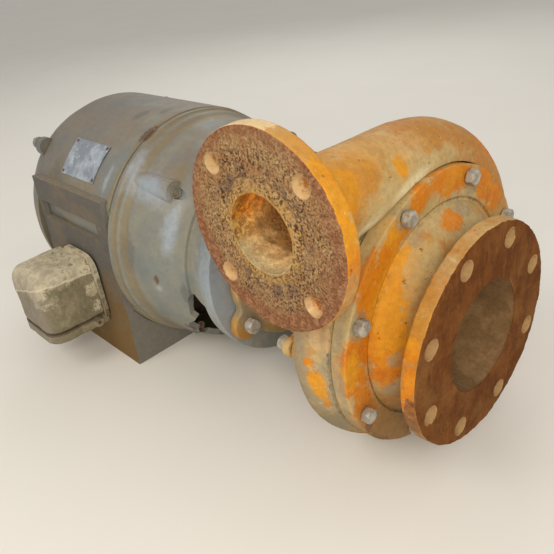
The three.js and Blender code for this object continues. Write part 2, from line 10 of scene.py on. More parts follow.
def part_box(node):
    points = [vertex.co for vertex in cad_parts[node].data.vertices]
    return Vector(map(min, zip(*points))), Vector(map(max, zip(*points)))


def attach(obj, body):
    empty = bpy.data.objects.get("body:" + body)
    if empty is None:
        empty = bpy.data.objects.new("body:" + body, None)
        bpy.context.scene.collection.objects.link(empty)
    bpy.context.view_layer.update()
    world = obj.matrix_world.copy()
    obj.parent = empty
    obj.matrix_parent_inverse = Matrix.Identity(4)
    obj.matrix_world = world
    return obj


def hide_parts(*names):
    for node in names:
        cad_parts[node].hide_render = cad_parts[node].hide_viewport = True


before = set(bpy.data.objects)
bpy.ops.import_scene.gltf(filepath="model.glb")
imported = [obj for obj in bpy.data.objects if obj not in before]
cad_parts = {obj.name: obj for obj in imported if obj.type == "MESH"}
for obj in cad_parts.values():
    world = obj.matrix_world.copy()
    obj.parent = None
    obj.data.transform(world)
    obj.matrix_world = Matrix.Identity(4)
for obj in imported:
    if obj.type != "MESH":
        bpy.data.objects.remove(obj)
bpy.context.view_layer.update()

# Looks of a close-coupled centrifugal pump. Sizes are in millimetres from the shaft: x runs along
# it and is 0 on the suction face, y and z are measured from its centre line. An angle goes round
# the shaft from the top towards the discharge side.
MM = 0.001
COVER_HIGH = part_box("suction_cover")[1]
HOUSING_LOW, HOUSING_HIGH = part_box("seal_housing")
SHAFT = np.array([COVER_HIGH.x, *((HOUSING_LOW + HOUSING_HIGH) / 2)[1:]])
SHARP_EDGE = math.radians(32)
GAP = 0.3

# Suction cover
SUCTION = Sizes(centre=(-5.85, -9.54), radius=127, thick=18, bore=65, core=57, hole_ring=106.4, hole=10.5)
NECK = Sizes(radius=84, root=94, back=-60)
DISH = Sizes(front=-24, neck=74, radius=122, fullness=1.3)
PLATE = Sizes(front=-60, back=-80, radius=161, inside=-68)
SCREW = Sizes(ring=147, count=8, phase=24, width=16, head=9.5, hole=7)
EYE_RADIUS = 58
# Bare rust: how deep behind the face, out to which radius, and how far back a bore's face may look
SUCTION_RUST = Sizes(depth=1.6, radius=125.8, facing=-0.5)

# Volute casing, with the scroll's radius and half width at some angles
SCROLL = Sizes(x=-112, wall=8, inner=96, crown=0.85, turn=215, lap=4, end=362)
SCROLL_ANGLE = [35, 90, 135, 180, 225, 270, 315, 360]
SCROLL_RADIUS = [163, 168, 173, 177, 187, 197, 200, 204]
SCROLL_HALF_WIDTH = [25, 28, 31, 34, 38, 41, 43, 45]
CASING = Sizes(seat=-80.3, back=-142, wall=-137, core=60, back_radius=148, rim=165)
CHAMBER = Sizes(radius=112, wide=122)
DISCHARGE = Sizes(y=-202.4, centre=(-106.2, 165), radius=95.25, thick=19, hole_ring=76.2, hole=9.5)
NOZZLE = Sizes(bore=38.1, outer=45, drop=5)
# Band of the face with the most pits, and the radius where they end
PITS = Sizes(inner=47, outer=82, most=94)
# Bare rust: how deep behind the face, out to which radius, and the bore's radius and its end in y
DISCHARGE_RUST = Sizes(depth=3, radius=94.2, bore=40, bore_end=-120)

# Bracket, its two rings of bolts, and the shaft
BRACKET = Sizes(radius=138, front=-142.3, back=-155, bore=70, foot=112)
BRACKET_NECK = Sizes(radius=104, wall=9, end=92, lead=6)
WINDOW = Sizes(front=-178, back=-262, start=50, end=130, inner=40, outer=130)
CASING_JOINT = Sizes(ring=147, phase=92, ear=12, width=15, head=9)
MOTOR_JOINT = Sizes(ring=114.3, phase=30, ear=23, thick=15, width=19, head=12)
JOINT_HOLE = 7
SHAFT_RADIUS = 24

# Motor
MOTOR_FACE = -295
EAR_FRONT = MOTOR_FACE + MOTOR_JOINT.thick
FRAME = Sizes(front=-476, back=-696, radius=175.5, flat=154, bottom=-165.5)
UPPER_BOLTS = Sizes(angles=(44, 316), ring=152, radius=16, front=-380)
LOWER_BOLTS = Sizes(angles=(136, 224), ring=146, radius=14.5, front=-397)
BOSS = Sizes(back=-462, pad=7.5, height=3, hole=6)
REAR_END = -826
REAR_EAR = Sizes(ring=172, radius=15, depth=17)
REAR_NUT = Sizes(ring=179, width=17.3, head=9)
NAMEPLATE = Sizes(front=-529, back=-621, start=35, end=54, thick=1.2, buckle=0.25, pin=4)

# Conduit box, and the crease in it: its height at a place near the wall, its rise from there to
# the box's outer corner, its fall from that corner backwards, and how far it wavers
CONDUIT = Sizes(front=-537, back=-660, top=-3, bottom=-121, corner=30, seam=18, inset=4, below=8, cells=64)
CREASE = Sizes(height=-28, y=-192, rise=0.11, x=-544, fall=0.31, waver=2.5)
LUG = Sizes(place=(-187, -110), radius=8.5, hole=3, proud=2)

# Camera: its place, and the way it looks back, in degrees
CAMERA = Sizes(place=(263.91, -507.31, 396.71), azimuth=49.43, elevation=29.81, roll=-7.61, lens=40.62)

# Studio in metres: each light's place, size, power and tint, and the point that all are turned to
LIGHTS = {
    "key": ((-0.25, -1.6, 1.9), 1.1, 14, (1.0, 0.94, 0.85)),
    "front": ((1.3, -1.15, 1.1), 0.9, 17, (1.0, 0.93, 0.82)),
    "fill": ((2.0, 0.2, 1.3), 1.6, 5.5, (1.0, 0.95, 0.88)),
    "back": ((-1.2, 1.6, 1.8), 1.6, 12, (1.0, 0.99, 0.96)),
}
LIGHTS_AIM = (0.1, 0, 0.15)
SKY = Sizes(tint=(1.0, 0.97, 0.93, 1), strength=0.5)
FLOOR_REACH = 60


def other_axes(axis):
    return [k for k in range(3) if k != axis]


def off_line(points, centre, axis):
    """Distance of points from a line along an axis."""
    one, two = other_axes(axis)
    return np.hypot(points[:, one] - centre[0], points[:, two] - centre[1])


def span(*nodes):
    """Lowest and highest corner round some solids, in millimetres from the shaft."""
    corners = [(np.array(corner) - SHAFT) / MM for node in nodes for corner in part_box(node)]
    return np.min(corners, axis=0), np.max(corners, axis=0)


def around(radius, angle):
    """y and z at an angle from the top towards the discharge side."""
    a = np.radians(angle)
    return -radius * np.sin(a), radius * np.cos(a)


def ring_places(radius, count, phase, centre=(0, 0)):
    """Places on a ring, evenly spaced from an angle."""
    ring = [around(radius, phase + 360 * i / count) for i in range(count)]
    return [(centre[0] + one, centre[1] + two) for one, two in ring]


SUCTION_HOLES = ring_places(SUCTION.hole_ring, 8, 22.5, SUCTION.centre)
DISCHARGE_HOLES = ring_places(DISCHARGE.hole_ring, 4, 45, DISCHARGE.centre)
SCREWS = ring_places(SCREW.ring, SCREW.count, SCREW.phase)
CASING_EARS = ring_places(CASING_JOINT.ring, 4, CASING_JOINT.phase)
MOTOR_EARS = ring_places(MOTOR_JOINT.ring, 4, MOTOR_JOINT.phase)


# Outlines


def rounded(outline, fillet, steps=4):
    """Closed outline with its corners rounded; a corner's third value is its own fillet."""
    smooth = []
    count = len(outline)
    for i, corner in enumerate(outline):
        here = np.array(corner[:2], float)
        before = np.array(outline[i - 1][:2], float) - here
        after = np.array(outline[(i + 1) % count][:2], float) - here
        lengths = np.linalg.norm(before), np.linalg.norm(after)
        cut = min(corner[2] if len(corner) > 2 else fillet, 0.45 * min(lengths))
        if cut <= 0 or here[1] == 0:
            smooth.append(here)
            continue
        first, last = here + before / lengths[0] * cut, here + after / lengths[1] * cut
        for t in np.linspace(0, 1, steps + 1):
            smooth.append((1 - t) ** 2 * first + 2 * t * (1 - t) * here + t * t * last)
    return np.array(smooth)


def finely(outline, step):
    """Closed outline with points no further apart than the step."""
    outline = np.array(outline, float)
    fine = []
    for here, after in zip(outline, np.roll(outline, -1, axis=0)):
        parts = max(1, math.ceil(np.linalg.norm(after - here) / step))
        fine.extend(here + (after - here) * k / parts for k in range(parts))
    return np.array(fine)


# Meshes


def linked(name, data):
    """New object in the scene."""
    made = bpy.data.objects.new(name, data)
    bpy.context.scene.collection.objects.link(made)
    return made


def shape(name, points, faces):
    """Closed mesh object with its faces pointing out."""
    mesh = bpy.data.meshes.new(name)
    mesh.from_pydata((np.asarray(points).reshape(-1, 3) * MM + SHAFT).tolist(), [], faces)
    work = bmesh.new()
    work.from_mesh(mesh)
    bmesh.ops.remove_doubles(work, verts=work.verts, dist=1e-6)
    if work.calc_volume(signed=True) < 0:
        bmesh.ops.reverse_faces(work, faces=work.faces)
    work.to_mesh(mesh)
    work.free()
    return linked(name, mesh)


def loft(name, rings, loop=False):
    """Skin over a row of closed outlines, closed on itself or with flat ends."""
    rings = np.asarray(rings)
    index = np.arange(rings.shape[0] * rings.shape[1]).reshape(rings.shape[:2])
    here = index if loop else index[:-1]
    after = np.roll(index, -1, axis=0) if loop else index[1:]
    corners = [here, np.roll(here, -1, axis=1), np.roll(after, -1, axis=1), after]
    faces = np.stack(corners, axis=-1).reshape(-1, 4).tolist()
    if not loop:
        faces += [index[0][::-1].tolist(), index[-1].tolist()]
    return shape(name, rings, faces)


def turned(name, outline, segments, centre=(0, 0), axis=0, slope=(0, 0)):
    """Solid turned about a line along an axis; slope leans it by so much for each millimetre."""
    outline = np.asarray(outline, float)
    angles = np.linspace(0, 2 * math.pi, segments, endpoint=False)[:, None]
    one, two = other_axes(axis)
    points = np.zeros((segments, len(outline), 3))
    along = outline[:, 0]
    points[..., axis] = along
    points[..., one] = centre[0] + along * slope[0] + outline[:, 1] * np.cos(angles)
    points[..., two] = centre[1] + along * slope[1] + outline[:, 1] * np.sin(angles)
    return loft(name, points, loop=True)


def lathed(name, outline, fillet, step, segments, centre=(0, 0), axis=0):
    """Solid turned from an outline with rounded corners, drawn in fine steps."""
    return turned(name, finely(rounded(outline, fillet), step), segments, centre, axis)


def stud(back, front, radius, centre, step=4, segments=64):
    """Tool for a round boss with a rounded front end."""
    outline = [(back, 0), (back, radius), (front, radius, 2), (front, 0)]
    return lathed("tool", outline, 0, step, segments, centre)


def rod(start, end, radius, centre, axis=0, segments=32, slope=(0, 0)):
    outline = [(start, 0), (start, radius), (end, radius), (end, 0)]
    return turned("tool", outline, segments, centre, axis, slope)


def rim_cutter(face, depth, radius, centre, axis, side, worn=1.5):
    """Tool for a bolt hole with a worn rim; the face looks to the side."""
    wide = radius + worn
    outline = [
        (5, 0), (5, wide + 1), (1, wide + 1), (0, wide), (-worn, radius), (-depth, radius), (-depth, 0),
    ]
    return turned("tool", [(face + height * side, r) for height, r in outline], 40, centre, axis)


def box_tool(low, high):
    corners = [(x, y, z) for x in (low[0], high[0]) for y in (low[1], high[1]) for z in (low[2], high[2])]
    faces = [(0, 1, 3, 2), (4, 6, 7, 5), (0, 4, 5, 1), (2, 3, 7, 6), (0, 2, 6, 4), (1, 5, 7, 3)]
    return shape("tool", corners, faces)


def bake(piece):
    """Makes the piece's modifiers part of its mesh."""
    graph = bpy.context.evaluated_depsgraph_get()
    old = piece.data
    piece.data = bpy.data.meshes.new_from_object(piece.evaluated_get(graph))
    piece.modifiers.clear()
    bpy.data.meshes.remove(old)
    return piece


def combine(piece, operation, *tools):
    """Joins, cuts or trims a piece with tools, which are used up."""
    for tool in tools:
        step = piece.modifiers.new("step", "BOOLEAN")
        step.operation = operation
        step.solver = "MANIFOLD"
        step.object = tool
        bake(piece)
        bpy.data.objects.remove(tool)
    return piece


def cut(piece, *tools):
    return combine(piece, "DIFFERENCE", *tools)


def join(piece, *tools):
    return combine(piece, "UNION", *tools)


def gathered(tools):
    """Tools that don't touch each other, as one tool."""
    work = bmesh.new()
    for tool in tools:
        work.from_mesh(tool.data)
    first = tools[0]
    work.to_mesh(first.data)
    work.free()
    for tool in tools[1:]:
        bpy.data.objects.remove(tool)
    return first


def rods(start, end, radius, ring, segments=32):
    """Rods on all places of a ring, as one tool."""
    return gathered([rod(start, end, radius, place, segments=segments) for place in ring])


def blended(piece, voxel, passes):
    """Draws the surface anew as one skin and softens its inner and outer corners."""
    remesh = piece.modifiers.new("skin", "REMESH")
    remesh.mode = "VOXEL"
    remesh.voxel_size = voxel * MM
    soften = piece.modifiers.new("soften", "SMOOTH")
    soften.factor = 0.6
    soften.iterations = passes
    return bake(piece)


def worn_edges(piece, width):
    """Breaks the piece's edges."""
    soften = piece.modifiers.new("worn", "BEVEL")
    soften.width = width * MM
    soften.segments = 2
    soften.limit_method = "ANGLE"
    return soften


# Places on a piece


def read(values, name):
    """Vectors of all items of a mesh, as rows."""
    found = np.zeros(len(values) * 3, np.float32)
    values.foreach_get(name, found)
    return found.reshape(-1, 3).astype(float)


def places(piece):
    """The piece's points, in millimetres from the shaft."""
    return (read(piece.data.vertices, "co") - SHAFT) / MM


def put(piece, points):
    piece.data.vertices.foreach_set("co", (points * MM + SHAFT).astype(np.float32).ravel())
    piece.data.update()


def lumps(points, size, octaves=2, seed=0):
    """Smooth random values from about -1 to 1, with lumps of that size."""
    shift = Vector((7.3, 2.9, 5.1)) * seed
    return np.array([noise.fractal(Vector(p) / size + shift, 1.0, 2.0, octaves) for p in points])


def sunk(piece, depth):
    """Moves each point inwards by its own depth."""
    normals = read(piece.data.vertex_normals, "vector")
    put(piece, places(piece) - normals * np.asarray(depth)[:, None])


def weathered(piece, *layers, seed=0):
    """Sinks the surface unevenly; a layer is a depth and a size of lumps."""
    points = places(piece)
    depth = np.zeros(len(points))
    for k, (amount, size) in enumerate(layers):
        depth += amount * np.clip(0.5 + 0.6 * lumps(points, size, seed=seed + k), 0, 1)
    sunk(piece, depth)
    return piece


def nibbled(piece, axis, face, centre, radius):
    """Eats small shallow bites out of the edge between a flange's face and its rim."""
    points = places(piece)
    rim = np.clip((off_line(points, centre, axis) - radius) / 6 + 1, 0, 1)
    near = np.clip(1 - np.abs(points[:, axis] - face) / 5, 0, 1) * rim
    sunk(piece, near * 1.2 * np.clip(1.5 * lumps(points, 14, 3, seed=45), 0, 1))
    return piece


def polar(points):
    """x, radius and angle round the shaft."""
    x, y, z = points.T
    return x, np.hypot(y, z), np.degrees(np.arctan2(-y, z)) % 360


def highest(points, spots, away):
    """Field of some spots: 1 in the middle, 0 at the edge, less outside, and -9 without a spot."""
    return np.max([np.full(len(points), -9.0), *(1 - away(*spot) for spot in spots)], axis=0)


def patches(points, spots):
    """A patch is x, angle, radius, and its half width across and half length round the shaft."""
    x, radius, angle = polar(points)

    def away(spot_x, spot_angle, spot_radius, across, length):
        turn = np.radians((angle - spot_angle + 180) % 360 - 180) * spot_radius
        aside = ((x - spot_x) / across) ** 2 + ((radius - spot_radius) / across) ** 2
        return np.sqrt(aside + (turn / length) ** 2)

    return highest(points, spots, away)


def blots(points, spots):
    """A blot is round, with x, y, z and a radius."""
    return highest(points, spots, lambda x, y, z, size: np.linalg.norm(points - (x, y, z), axis=1) / size)


def seams(points, lines, width):
    """A seam is a circle round the shaft, given by x and radius; its field is 0 at the width."""
    x, radius, _ = polar(points)

    def away(line_x, line_radius):
        return np.hypot(x - line_x, radius - line_radius) / width

    return highest(points, lines, away)


def drawn(measure, points, paint):
    """Fields of all the spots of a piece, by the name of the finish that they belong to."""
    return {name: measure(points, spots) for name, spots in paint.items()}


def note(piece, names, **fields):
    """Keeps the fields of a material at the piece's points; a field that isn't given is out of reach."""
    absent = np.full(len(piece.data.vertices), -3.0)
    for name in names:
        values = np.clip(fields.get(name, absent), -3, 3)
        found = piece.data.attributes.new(name, "FLOAT", "POINT")
        found.data.foreach_set("value", values.astype(np.float32))


def settled(piece, slot, looks, *nodes):
    """Puts the finished piece in the place of its solids, inside their box."""
    put(piece, np.clip(places(piece), *span(*nodes)))
    piece.data.materials.clear()
    piece.data.polygons.foreach_set("material_index", np.zeros(len(piece.data.polygons), np.int32))
    for look in looks:
        piece.data.materials.append(look)
    piece.data.shade_smooth()
    piece.data.set_sharp_from_angle(angle=SHARP_EDGE)
    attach(piece, "root")
    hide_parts(*nodes)
    return piece


def choose_look(piece, index, chosen):
    """Gives a look to the faces that a test of their middles and normals chooses."""
    faces = piece.data.polygons
    middles = (read(faces, "center") - SHAFT) / MM
    kinds = np.where(chosen(middles, read(faces, "normal")), index, 0)
    faces.foreach_set("material_index", kinds.astype(np.int32))


# Finishes


def colour(red, green, blue):
    """Linear colour from the values of a photograph, 0 to 255."""
    values = np.array([red, green, blue]) / 255
    linear = np.where(values <= 0.04045, values / 12.92, ((values + 0.055) / 1.055) ** 2.4)
    return (*linear, 1.0)


class Look:
    """Material made of nodes, on places in millimetres from the shaft, with one coat over another."""

    def __init__(self, name):
        self.material = bpy.data.materials.new(name)
        self.material.use_nodes = True
        self.tree = self.material.node_tree
        self.shader = self.tree.nodes["Principled BSDF"]
        where = self.node("TexCoord").outputs["Object"]
        moved = self.node("VectorMath", {0: where, 1: SHAFT}, operation="SUBTRACT").outputs[0]
        self.place = self.scale(moved, 1 / MM)
        parts = self.node("SeparateXYZ", {0: self.place}).outputs
        self.x, self.y, self.z = parts[0], parts[1], parts[2]
        facing = self.node("SeparateXYZ", {0: self.node("NewGeometry").outputs["Normal"]})
        self.up = facing.outputs[2]
        self.sideways = self.maths("ABSOLUTE", facing.outputs[1])

    def node(self, kind, inputs=None, **settings):
        made = self.tree.nodes.new("ShaderNode" + kind)
        for key, value in settings.items():
            setattr(made, key, value)
        for key, value in (inputs or {}).items():
            self.feed(made.inputs[key], value)
        return made

    def feed(self, socket, value):
        if isinstance(value, bpy.types.NodeSocket):
            self.tree.links.new(value, socket)
        else:
            socket.default_value = value

    def maths(self, operation, *values):
        return self.node("Math", dict(enumerate(values)), operation=operation).outputs[0]

    def line(self, value, slope, start):
        return self.maths("MULTIPLY_ADD", value, slope, start)

    def times(self, first, *others):
        for other in others:
            first = self.maths("MULTIPLY", first, other)
        return first

    def scale(self, vector, factor):
        return self.node("VectorMath", {0: vector, "Scale": factor}, operation="SCALE").outputs[0]

    def field(self, name):
        return self.node("Attribute", attribute_name=name).outputs["Fac"]

    def noise(self, size, detail=3, roughness=0.6, stretch=(1, 1, 1), seed=0):
        """Cloudy value from 0 to 1 with clouds of that size."""
        inputs = {0: self.place, 1: [s / size for s in stretch], 2: [seed * 3.7] * 3}
        moved = self.node("VectorMath", inputs, operation="MULTIPLY_ADD").outputs[0]
        settings = {"Vector": moved, "Scale": 1, "Detail": detail, "Roughness": roughness}
        return self.node("TexNoise", settings).outputs["Fac"]

    def fade(self, value, low, high):
        """0 below low, 1 above high, and smooth between them."""
        settings = {"Value": value, "From Min": low, "From Max": high}
        return self.node("MapRange", settings, interpolation_type="SMOOTHSTEP").outputs[0]

    def clouds(self, size, low, high, detail=4, roughness=0.6, stretch=(1, 1, 1), seed=0):
        """Mask of the clouds that lie above a level, soft from low to high."""
        return self.fade(self.noise(size, detail, roughness, stretch, seed), low, high)

    def soft(self, name, size, edge=0.18, seed=0):
        """Mask of a field with an edge torn at two scales."""
        torn = self.line(self.noise(size, seed=seed), 1.5, -0.75)
        fine = self.line(self.noise(size / 4, 3, 0.65, seed=seed + 1), 0.8, -0.4)
        value = self.maths("ADD", self.maths("ADD", self.field(name), torn), fine)
        return self.fade(value, -edge, edge)

    def mix(self, first, second, share):
        """Mixes two colours; plain ones are given by their values in a photograph."""
        first, second = (colour(*c) if isinstance(c, tuple) else c for c in (first, second))
        return self.node("Mix", {0: share, 6: first, 7: second}, data_type="RGBA").outputs[2]

    def over(self, first, second, share, amount=1.0):
        """Second colour laid over the first where the share is."""
        return self.mix(first, second, self.times(share, amount))

    def start(self, first, second, share):
        """First coat, mixed of two colours."""
        self.base = self.mix(first, second, share)

    def lay(self, coat, share, amount=1.0):
        """Lays a coat over the ones before it where the share is."""
        self.base = self.over(self.base, coat, share, amount)

    def grain(self, size, amount, seed=0):
        """Fine light and dark grain in all coats."""
        grain = self.clouds(size, 0.34, 0.66, 4, 0.7, seed=seed)
        self.base = self.scale(self.base, self.line(grain, 2 * amount, 1 - amount))

    def finished(self, roughness, *heights, metal=0.0, gloss=0.5):
        """Feeds the shader; heights are pairs of a value and its height in millimetres."""
        self.feed(self.shader.inputs["Base Color"], self.base)
        self.feed(self.shader.inputs["Roughness"], roughness)
        self.shader.inputs["Metallic"].default_value = metal
        self.shader.inputs["Specular IOR Level"].default_value = gloss
        normal = None
        for height, depth in heights:
            bump = self.node("Bump", {"Height": height, "Distance": depth * MM, "Strength": 1.0})
            if normal is not None:
                self.feed(bump.inputs["Normal"], normal)
            normal = bump.outputs[0]
        if normal is not None:
            self.feed(self.shader.inputs["Normal"], normal)
        return self.material


KHAKI = (182, 149, 86)
PALE_KHAKI = (198, 168, 114)
OLIVE = (186, 164, 114)
PALE_OLIVE = (226, 214, 174)
ORANGE = (206, 122, 8)
YELLOW = (216, 150, 30)
RED_ORANGE = (182, 82, 10)
HAZE = (178, 112, 34)
MAUVE = (150, 138, 114)
# Pale tan of wear and dust, also used as painted light on the walls of bolt holes
WORN_AND_LIT = (186, 154, 110)
RUST = (138, 82, 42)
DARK_RUST = (74, 44, 26)
DIRT = (66, 50, 34)

PUMP_FIELDS = ("fresh", "yellow", "haze", "olive", "gray", "rust", "seam", "pit", "pale", "bore")
MOTOR_FIELDS = ("ochre", "rust", "pale", "smudge")
CONDUIT_FIELDS = ("white", "pale", "seam")


def pump_paint():
    """Orange paint over cast iron, faded to khaki and gray in patches, with dirt in its corners; the pale
    hole walls are dust with painted light and painted shade, and the olive in the valley by the cover ring is
    partly painted light.
    """
    look = Look("pump_paint")
    look.start(KHAKI, PALE_KHAKI, look.clouds(60, 0.38, 0.64, 2))
    look.lay(HAZE, look.clouds(50, 0.5, 0.74, seed=1), 0.32)
    look.lay(HAZE, look.soft("haze", 30, 0.5, seed=2), 0.75)
    # Olive dust; in the shaded valley between the cover ring and the scroll it also stands in for light, and
    # its pale middle there is painted light
    look.lay(OLIVE, look.soft("olive", 22, 0.35, seed=3), 0.9)
    look.lay(PALE_OLIVE, look.fade(look.field("olive"), 0.4, 0.9), 0.8)
    look.lay(YELLOW, look.soft("yellow", 22, 0.7, seed=7), 0.4)
    fresh = look.soft("fresh", 16, seed=4)
    bright = look.over(ORANGE, RED_ORANGE, look.clouds(30, 0.5, 0.7, seed=5), 0.5)
    bright = look.over(bright, YELLOW, look.clouds(34, 0.5, 0.66, 3, seed=6), 0.45)
    bright = look.over(bright, YELLOW, look.soft("yellow", 22, 0.4, seed=7), 0.8)
    look.lay(bright, fresh, 0.95)
    look.lay(MAUVE, look.soft("gray", 12, 0.4, seed=8), 0.8)
    rusty = look.mix(RUST, DARK_RUST, look.clouds(6, 0.45, 0.68, 4, 0.65, seed=9))
    look.lay(rusty, look.soft("rust", 8, seed=10), 0.8)
    look.lay(OLIVE, look.clouds(13, 0.6, 0.68, 4, 0.65, seed=11), 0.6)
    chips = look.clouds(10, 0.68, 0.71, 4, 0.65, seed=12)
    look.lay(RUST, chips, 0.75)
    grime = look.clouds(5, 0.54, 0.7, 5, 0.75, seed=23)
    look.lay((124, 92, 50), grime, 0.35)
    scuffs = look.clouds(9, 0.63, 0.69, 5, 0.75, (0.3, 1, 1), 24)
    look.lay((222, 206, 168), scuffs, 0.35)
    specks = look.times(look.clouds(3.2, 0.66, 0.72, 2, seed=13), look.clouds(26, 0.44, 0.62, 3, seed=14))
    look.lay(DARK_RUST, specks, 0.8)
    look.lay(DIRT, look.soft("seam", 5, 0.4, seed=15), 0.6)
    low = look.line(look.noise(24, 4, seed=22), 70, look.z)
    look.lay((104, 90, 64), look.fade(low, 25, -75), 0.6)
    dusty = look.times(look.fade(look.up, 0.35, 1.0), look.clouds(40, 0.4, 0.64, 3, seed=16))
    look.lay(PALE_KHAKI, dusty, 0.3)
    # Pale walls of the bolt holes: dust with painted light on them, palest in the discharge holes; also a few
    # pale worn spots on the discharge flange and nozzle
    worn_and_lit = look.mix(WORN_AND_LIT, (222, 194, 146), look.fade(look.y, -150, -190))
    look.lay(worn_and_lit, look.soft("pale", 7, 0.2, seed=17), 0.9)
    look.grain(8, 0.08, seed=18)
    return look.finished(
        look.line(look.noise(8, seed=19), 0.3, 0.48),
        (look.noise(1.6, seed=20), 0.25), (look.noise(4, seed=25), 0.35), (look.noise(9, seed=21), 0.6),
        (fresh, 0.15), (chips, -0.3), gloss=0.25,
    )


def discharge_rust():
    """Pitted flange face: brown outside, khaki with dark pits inside, a tan ring at the bore, light flecks as
    painted highlights, and pale hole rims of dust with painted light.
    """
    look = Look("discharge_rust")
    dx = look.maths("SUBTRACT", look.x, DISCHARGE.centre[0])
    dz = look.maths("SUBTRACT", look.z, DISCHARGE.centre[1])
    radius = look.maths("SQRT", look.maths("ADD", look.maths("POWER", dx, 2), look.maths("POWER", dz, 2)))
    wobble = look.line(look.noise(16, 4, 0.65, seed=1), 40, -20)
    torn = look.maths("ADD", radius, wobble)
    look.start((166, 134, 92), (146, 110, 74), look.clouds(9, 0.42, 0.6, 5, 0.7, seed=2))
    look.lay((152, 104, 62), look.clouds(30, 0.5, 0.66, seed=3), 0.55)
    # Painted highlights: light flecks on the scaly rust
    look.lay((198, 168, 122), look.clouds(2.4, 0.54, 0.66, 3, 0.7, seed=13), 0.5)
    outer = look.mix((134, 88, 58), (162, 118, 84), look.clouds(6, 0.44, 0.62, 5, 0.7, seed=4))
    look.lay(outer, look.fade(look.line(dz, -0.1, torn), 70, 88))
    band = look.times(look.fade(radius, 46, 50), look.fade(torn, 68, 54))
    look.lay((108, 86, 74), look.times(band, look.clouds(18, 0.46, 0.58, seed=5)), 0.75)
    ring = look.times(look.fade(radius, 35, 38), look.fade(torn, 52, 42))
    look.lay((184, 146, 84), ring, 0.6)
    look.lay(discharge_bore_rust(look, wobble), look.fade(radius, 38.8, 37.4))
    purple = (64, 40, 32)
    fine = look.clouds(2.4, 0.5, 0.6, 4, 0.7, seed=7)
    inner = look.line(look.fade(torn, 92, 66), 0.65, 0.35)
    share = look.times(inner, look.clouds(18, 0.3, 0.56, 3, seed=8), look.fade(radius, 38, 40))
    look.lay(purple, look.times(fine, share), 0.95)
    look.lay(purple, look.fade(look.field("pit"), 0.1, 0.8), 0.75)
    # Pale rims of the bolt holes: dust with painted light
    look.lay(WORN_AND_LIT, look.soft("pale", 6, 0.25, seed=12), 0.85)
    look.grain(4, 0.16, seed=9)
    return look.finished(0.82, (look.noise(1.5, 4, 0.7, seed=10), 0.45), (fine, -0.35), gloss=0.2)


def discharge_bore_rust(look, wobble):
    """Wall of the bore: golden rust at its top, duller below, pale at the bottom, a fall from top to bottom
    that is partly painted shade and light, and lighter inwards as painted light.
    """
    # Painted light: the wall is brightened more the deeper it lies in the bore
    deep = look.fade(look.y, DISCHARGE.y + 2, DISCHARGE.y + 40)
    # From top to bottom the wall goes from golden rust to pale, partly as painted shade and light
    level = look.line(wobble, 0.4, look.z)
    wall = look.mix((148, 90, 28), (190, 130, 44), look.clouds(8, 0.42, 0.6, 4, 0.65, seed=11))
    dull = look.mix((142, 104, 58), (194, 158, 92), look.clouds(6, 0.46, 0.64, 4, 0.7, seed=6))
    wall = look.mix(wall, dull, look.fade(level, 172, 162))
    wall = look.over(wall, (206, 170, 92), look.clouds(16, 0.5, 0.62, 3, seed=14), 0.5)
    wall = look.mix(wall, (188, 170, 126), look.fade(level, 153, 141))
    return look.scale(wall, look.line(deep, 2.1, 1.1))


def suction_rust():
    """Flange face of smooth dark rust with tan dust in patches and round its holes, whose pale walls also
    carry painted light.
    """
    look = Look("suction_rust")
    look.start((94, 52, 16), (112, 66, 26), look.clouds(30, 0.4, 0.62))
    look.lay((130, 90, 46), look.clouds(60, 0.48, 0.72, seed=1), 0.55)
    look.lay((78, 42, 14), look.clouds(24, 0.52, 0.72, seed=2), 0.4)
    look.lay((140, 92, 44), look.clouds(5, 0.52, 0.72, 3, 0.6, (0.3, 1, 0.2), 3), 0.4)
    bore = look.mix((136, 106, 72), (120, 92, 60), look.clouds(30, 0.4, 0.6, 3, seed=4))
    look.lay(bore, look.field("bore"))
    look.lay((74, 46, 24), look.clouds(12, 0.56, 0.7, 4, 0.65, (0.4, 1, 1), 5), 0.25)
    # Pale walls of the bolt holes: dust with painted light
    look.lay((176, 140, 92), look.soft("pale", 6, 0.25, seed=9), 0.85)
    look.grain(4, 0.12, seed=6)
    return look.finished(0.8, (look.noise(1.6, seed=7), 0.2), (look.noise(7, seed=8), 0.5), gloss=0.12)


def motor_paint():
    """Dusty blue-gray paint: pinkish dust on top, ochre dirt in grooves, smudges, small rust marks, painted
    shade towards the rear, and pale bluish painted highlights.
    """
    look = Look("motor_paint")
    look.start((118, 123, 119), (134, 132, 118), look.clouds(90, 0.4, 0.62, 2))
    look.lay((104, 110, 112), look.clouds(70, 0.5, 0.7, 3, seed=1), 0.4)
    # Painted shade: darker towards the rear, where less light falls
    look.lay((96, 92, 88), look.fade(look.x, -500, -690), 0.6)
    dust = look.times(look.fade(look.up, 0.25, 0.95), look.clouds(60, 0.3, 0.58, 3, seed=2))
    look.lay((124, 111, 97), dust, 0.7)
    low = look.line(look.noise(50, 4, seed=3), 120, look.z)
    look.lay((104, 92, 70), look.fade(low, 10, -110), 0.6)
    look.lay((84, 64, 44), look.clouds(3.4, 0.7, 0.74, 2, seed=4), 0.7)
    look.lay((82, 80, 76), look.soft("smudge", 12, 0.4, seed=5), 0.5)
    look.lay((126, 110, 78), look.soft("ochre", 14, 0.35, seed=6), 0.65)
    look.lay((92, 62, 38), look.soft("rust", 6, seed=7), 0.8)
    # Painted highlights and painted light: pale bluish patches on the boss, the bell and the motor face
    look.lay((164, 176, 190), look.soft("pale", 12, 0.9, seed=8), 0.6)
    look.grain(9, 0.05, seed=9)
    roughness = look.line(look.noise(20, seed=10), 0.35, 0.3)
    heights = (look.noise(2.4, seed=11), 0.1), (look.noise(26, seed=12), 0.6)
    return look.finished(roughness, *heights, gloss=0.45)


